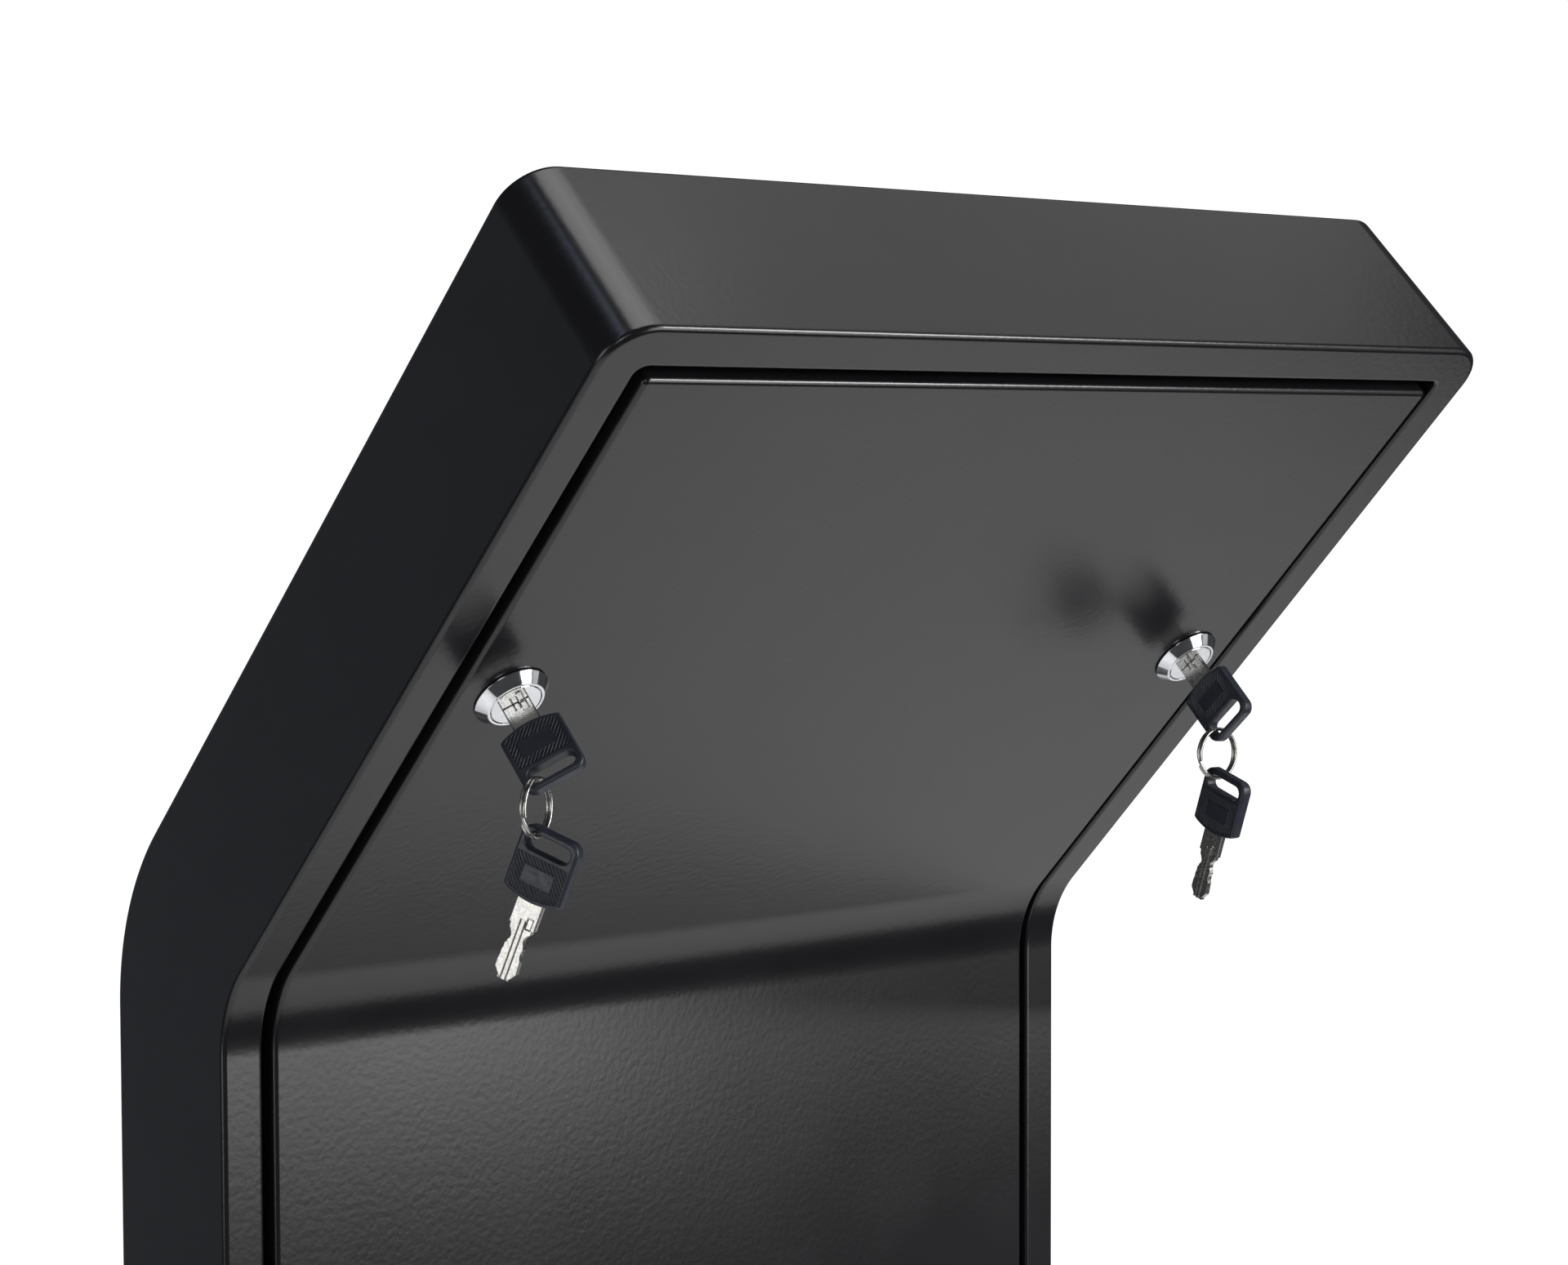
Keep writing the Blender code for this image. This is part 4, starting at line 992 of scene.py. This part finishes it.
def blade_halves(distance):
    """How far the blade reaches left and right of its middle, at each distance from the bow. The shoulder
    is plain; then come the waist behind it, the stepped cuts, the full width and the blunt point."""
    stop = BLADE_SHOULDER_LENGTH
    cuts = np.array([(stop + past, left, right) for past, left, right in BLADE_CUTS])
    point = np.array([(BLADE_LENGTH - short, left, right) for short, left, right in BLADE_POINT])
    stations, left, right = np.concatenate([cuts, point]).T
    widest = np.where(distance <= stop, BLADE_SHOULDER_WIDTH, BLADE_WIDTH) / 2
    return widest * np.interp(distance, stations, left), widest * np.interp(distance, stations, right)


def blade_relief(x, distance):
    """Depth cut into the blade's face: a long rib between two milled lines, and a pocket by the
    shoulder. Each wall rises evenly over the width of a line."""
    line = 0.00026
    line_x, line_depth = 0.00095, 0.0006
    line_start = BLADE_SHOULDER_LENGTH - 0.0022
    pocket_x, pocket_depth = (0.0012, 0.0034), 0.0005
    pocket_ends = (line_start - 0.0012, BLADE_SHOULDER_LENGTH + 0.0006)
    lines = np.clip(1 - np.abs(np.abs(x) - line_x) / line, 0, 1)
    lines = lines * np.clip((distance - line_start) / line, 0, 1)
    pocket = np.clip((x - pocket_x[0]) / line, 0, 1) * np.clip((pocket_x[1] - x) / line, 0, 1)
    pocket = pocket * np.clip((distance - pocket_ends[0]) / line, 0, 1)
    pocket = pocket * np.clip((pocket_ends[1] - distance) / line, 0, 1)
    return lines * line_depth + pocket * pocket_depth


def blade_shell():
    """Cross-sections down the blade: each runs across the front face and back across the rear one. Its
    middle columns keep their places, so that the milled lines stay straight where the edges are cut."""
    stop = BLADE_SHOULDER_LENGTH
    rows = np.concatenate([
        np.linspace(-TANG_LENGTH, stop - 0.0001, 60), np.linspace(stop, BLADE_LENGTH, 150)
    ])[:, None]
    left, right = blade_halves(np.maximum(rows, 0))
    fixed = 0.0022
    middle = np.linspace(-fixed, fixed, 34)[None, :] + 0 * rows
    out = np.linspace(1, 0, 10, endpoint=False)[None, :]
    left_x = -fixed - (left - fixed) * out
    right_x = (fixed + (right - fixed) * out)[:, ::-1]
    x = np.concatenate([left_x, middle, right_x], axis=1)
    bevel = 0.00016
    edge = np.minimum(x + left, right - x)
    height = BLADE_THICKNESS / 2 - blade_relief(x, rows)
    height = height - np.clip(bevel - edge, 0, bevel)
    z = -rows + 0 * x
    front = np.stack([x, -height, z], axis=-1)
    back = np.stack([x, height, z], axis=-1)[:, ::-1]
    body = np.concatenate([front, back], axis=1)
    ends = [end * (1, 0, 1) for end in (body[:1], body[-1:])]
    return np.concatenate([ends[0], body, ends[1]])


def hanging_point(side):
    """Where the ring's wire lies in the low end of the inserted key's slot, in the key's own frame."""
    slide = Vector((-sin(KEY_TURN[side]), 1)).normalized()
    end = BOW_SLOT_LENGTH / 2 - BOW_SLOT_HEIGHT / 2
    across = -end + slide.x * RING_PLAY
    along = BOW_SLOT_CENTRE + slide.y * RING_PLAY
    return Vector((across, RING_FORWARD, KEY_STAND_OFF + along))


def key_frames(side):
    """Turn and place of the inserted key, of the ring at its top, and of the spare key on the ring."""
    turn = plug_turn(side)
    lock = lock_frame(side)[1]
    key = (turn, lock + turn @ Vector((0, 0, KEY_STAND_OFF)))
    hang = lock + turn @ hanging_point(side)
    facing = RING_FACING[side]
    forward = Vector((-sin(facing), -cos(facing), 0))
    along = UP.cross(forward)
    ring = (Matrix((forward, along, UP)).transposed(), hang)
    low = hang - UP * (2 * RING_RADIUS - RING_WIRE)
    tilt = SPARE_TILT[side]
    across = along * cos(tilt) - UP * sin(tilt)
    upward = UP * cos(tilt) + along * sin(tilt)
    end = BOW_SLOT_LENGTH / 2 - BOW_SLOT_HEIGHT / 2
    play = BOW_SLOT_HEIGHT / 2 - RING_TURNS_WIDTH / 2 - FIT_GAP
    held = Vector((-end - play * sin(tilt), 0, BOW_SLOT_CENTRE + play * cos(tilt)))
    spare_turn = Matrix((across, upward.cross(across), upward)).transposed()
    spare = (spare_turn, low - spare_turn @ held)
    return key, ring, spare


def ring_shell():
    """A round wire carried twice round a circle. It changes from one turn's plane to the other's in a
    short S, and both its ends lie against that step."""
    middle = RING_RADIUS - RING_WIRE / 2
    wire = RING_WIRE / 2 - 0.00004
    first_end = radians(118)
    end_gap = radians(14)
    step_start = 2 * pi - radians(34)
    step_length = radians(56)
    sweep = np.linspace(0, 4 * pi - end_gap, 220)
    turns = first_end + sweep
    share = np.clip((sweep - step_start) / step_length, 0, 1)
    share = share * share * (3 - 2 * share)
    offset = (share - 0.5) * (RING_TURNS_WIDTH - RING_WIRE)
    outward = np.column_stack([np.sin(turns), 0 * turns, np.cos(turns)])
    sideways = np.array([0, 1, 0])
    centre = outward * middle + offset[:, None] * sideways + (0, 0, -middle)
    round_turns = np.linspace(0, 2 * pi, 16, endpoint=False)[None, :, None]
    tube = centre[:, None] + wire * (
        outward[:, None] * np.cos(round_turns) + sideways * np.sin(round_turns)
    )
    start = centre[:1, None] + 0 * tube[:1]
    end = centre[-1:, None] + 0 * tube[-1:]
    return np.concatenate([start, tube, end])


def make_keys(side, nickel, plastic):
    """The inserted key, the ring and the spare key of one lock. Both keys have the same shape."""
    key, ring, spare = key_frames(side)
    bow = grid(bow_shell(), True, True)
    blade = grid(blade_shell(), wrap_columns=True)
    for prefix, place in (("key", key), ("spare_key", spare)):
        for name, (points, quads), look in (("bow", bow, plastic), ("blade", blade, nickel)):
            piece = new_mesh_object(f"{prefix}_{name}_{side}_fine", [(moved(points, *place), quads)])
            finish_piece(piece, look, f"{prefix}_{name}_{side}")
    wire = moved(ring_shell(), *ring)
    coil = new_mesh_object(f"split_ring_{side}_coil", [grid(wire, wrap_columns=True)])
    finish_piece(coil, nickel, f"split_ring_{side}")


def build():
    """The camera and studio, then every piece with its material. A look is (the record's slot, the
    material); only the material is used.
    """
    looks = {
        "powder_coat": powder_coat(),
        "chrome": chrome_plate(),
        "nickel": nickel_plate(),
        "zinc_steel": zinc_plate(),
        "key_plastic": bow_plastic(),
        "rubber": buffer_rubber(),
    }
    looks = {slot: (slot, material) for slot, material in looks.items()}
    coat = looks["powder_coat"]
    zinc = looks["zinc_steel"]
    make_camera()
    make_studio()
    make_casing(coat)
    make_rear_panel(coat)
    make_panel_screws(zinc)
    make_door(coat)
    for side in SIDES:
        make_lock_housing(side, looks["chrome"])
        make_lock_plug(side, looks["chrome"])
        make_cam_screw(side, zinc)
        make_keys(side, looks["nickel"], looks["key_plastic"])
        for node in (f"lock_nut_{side}", f"lock_cam_{side}"):
            soften(node, zinc)
        soften(f"door_buffer_{side}", looks["rubber"], 0.0004)
        for node in (f"lock_keeper_{side}", f"flap_ear_{side}"):
            soften(node, coat)
    for node in ("letter_flap", "letter_retainer"):
        soften(node, coat, 0.0004)
    for node in ("hinge_leaf_casing", "hinge_leaf_door", "hinge_pin", "flap_pin"):
        soften(node, zinc, 0.0002)


build()
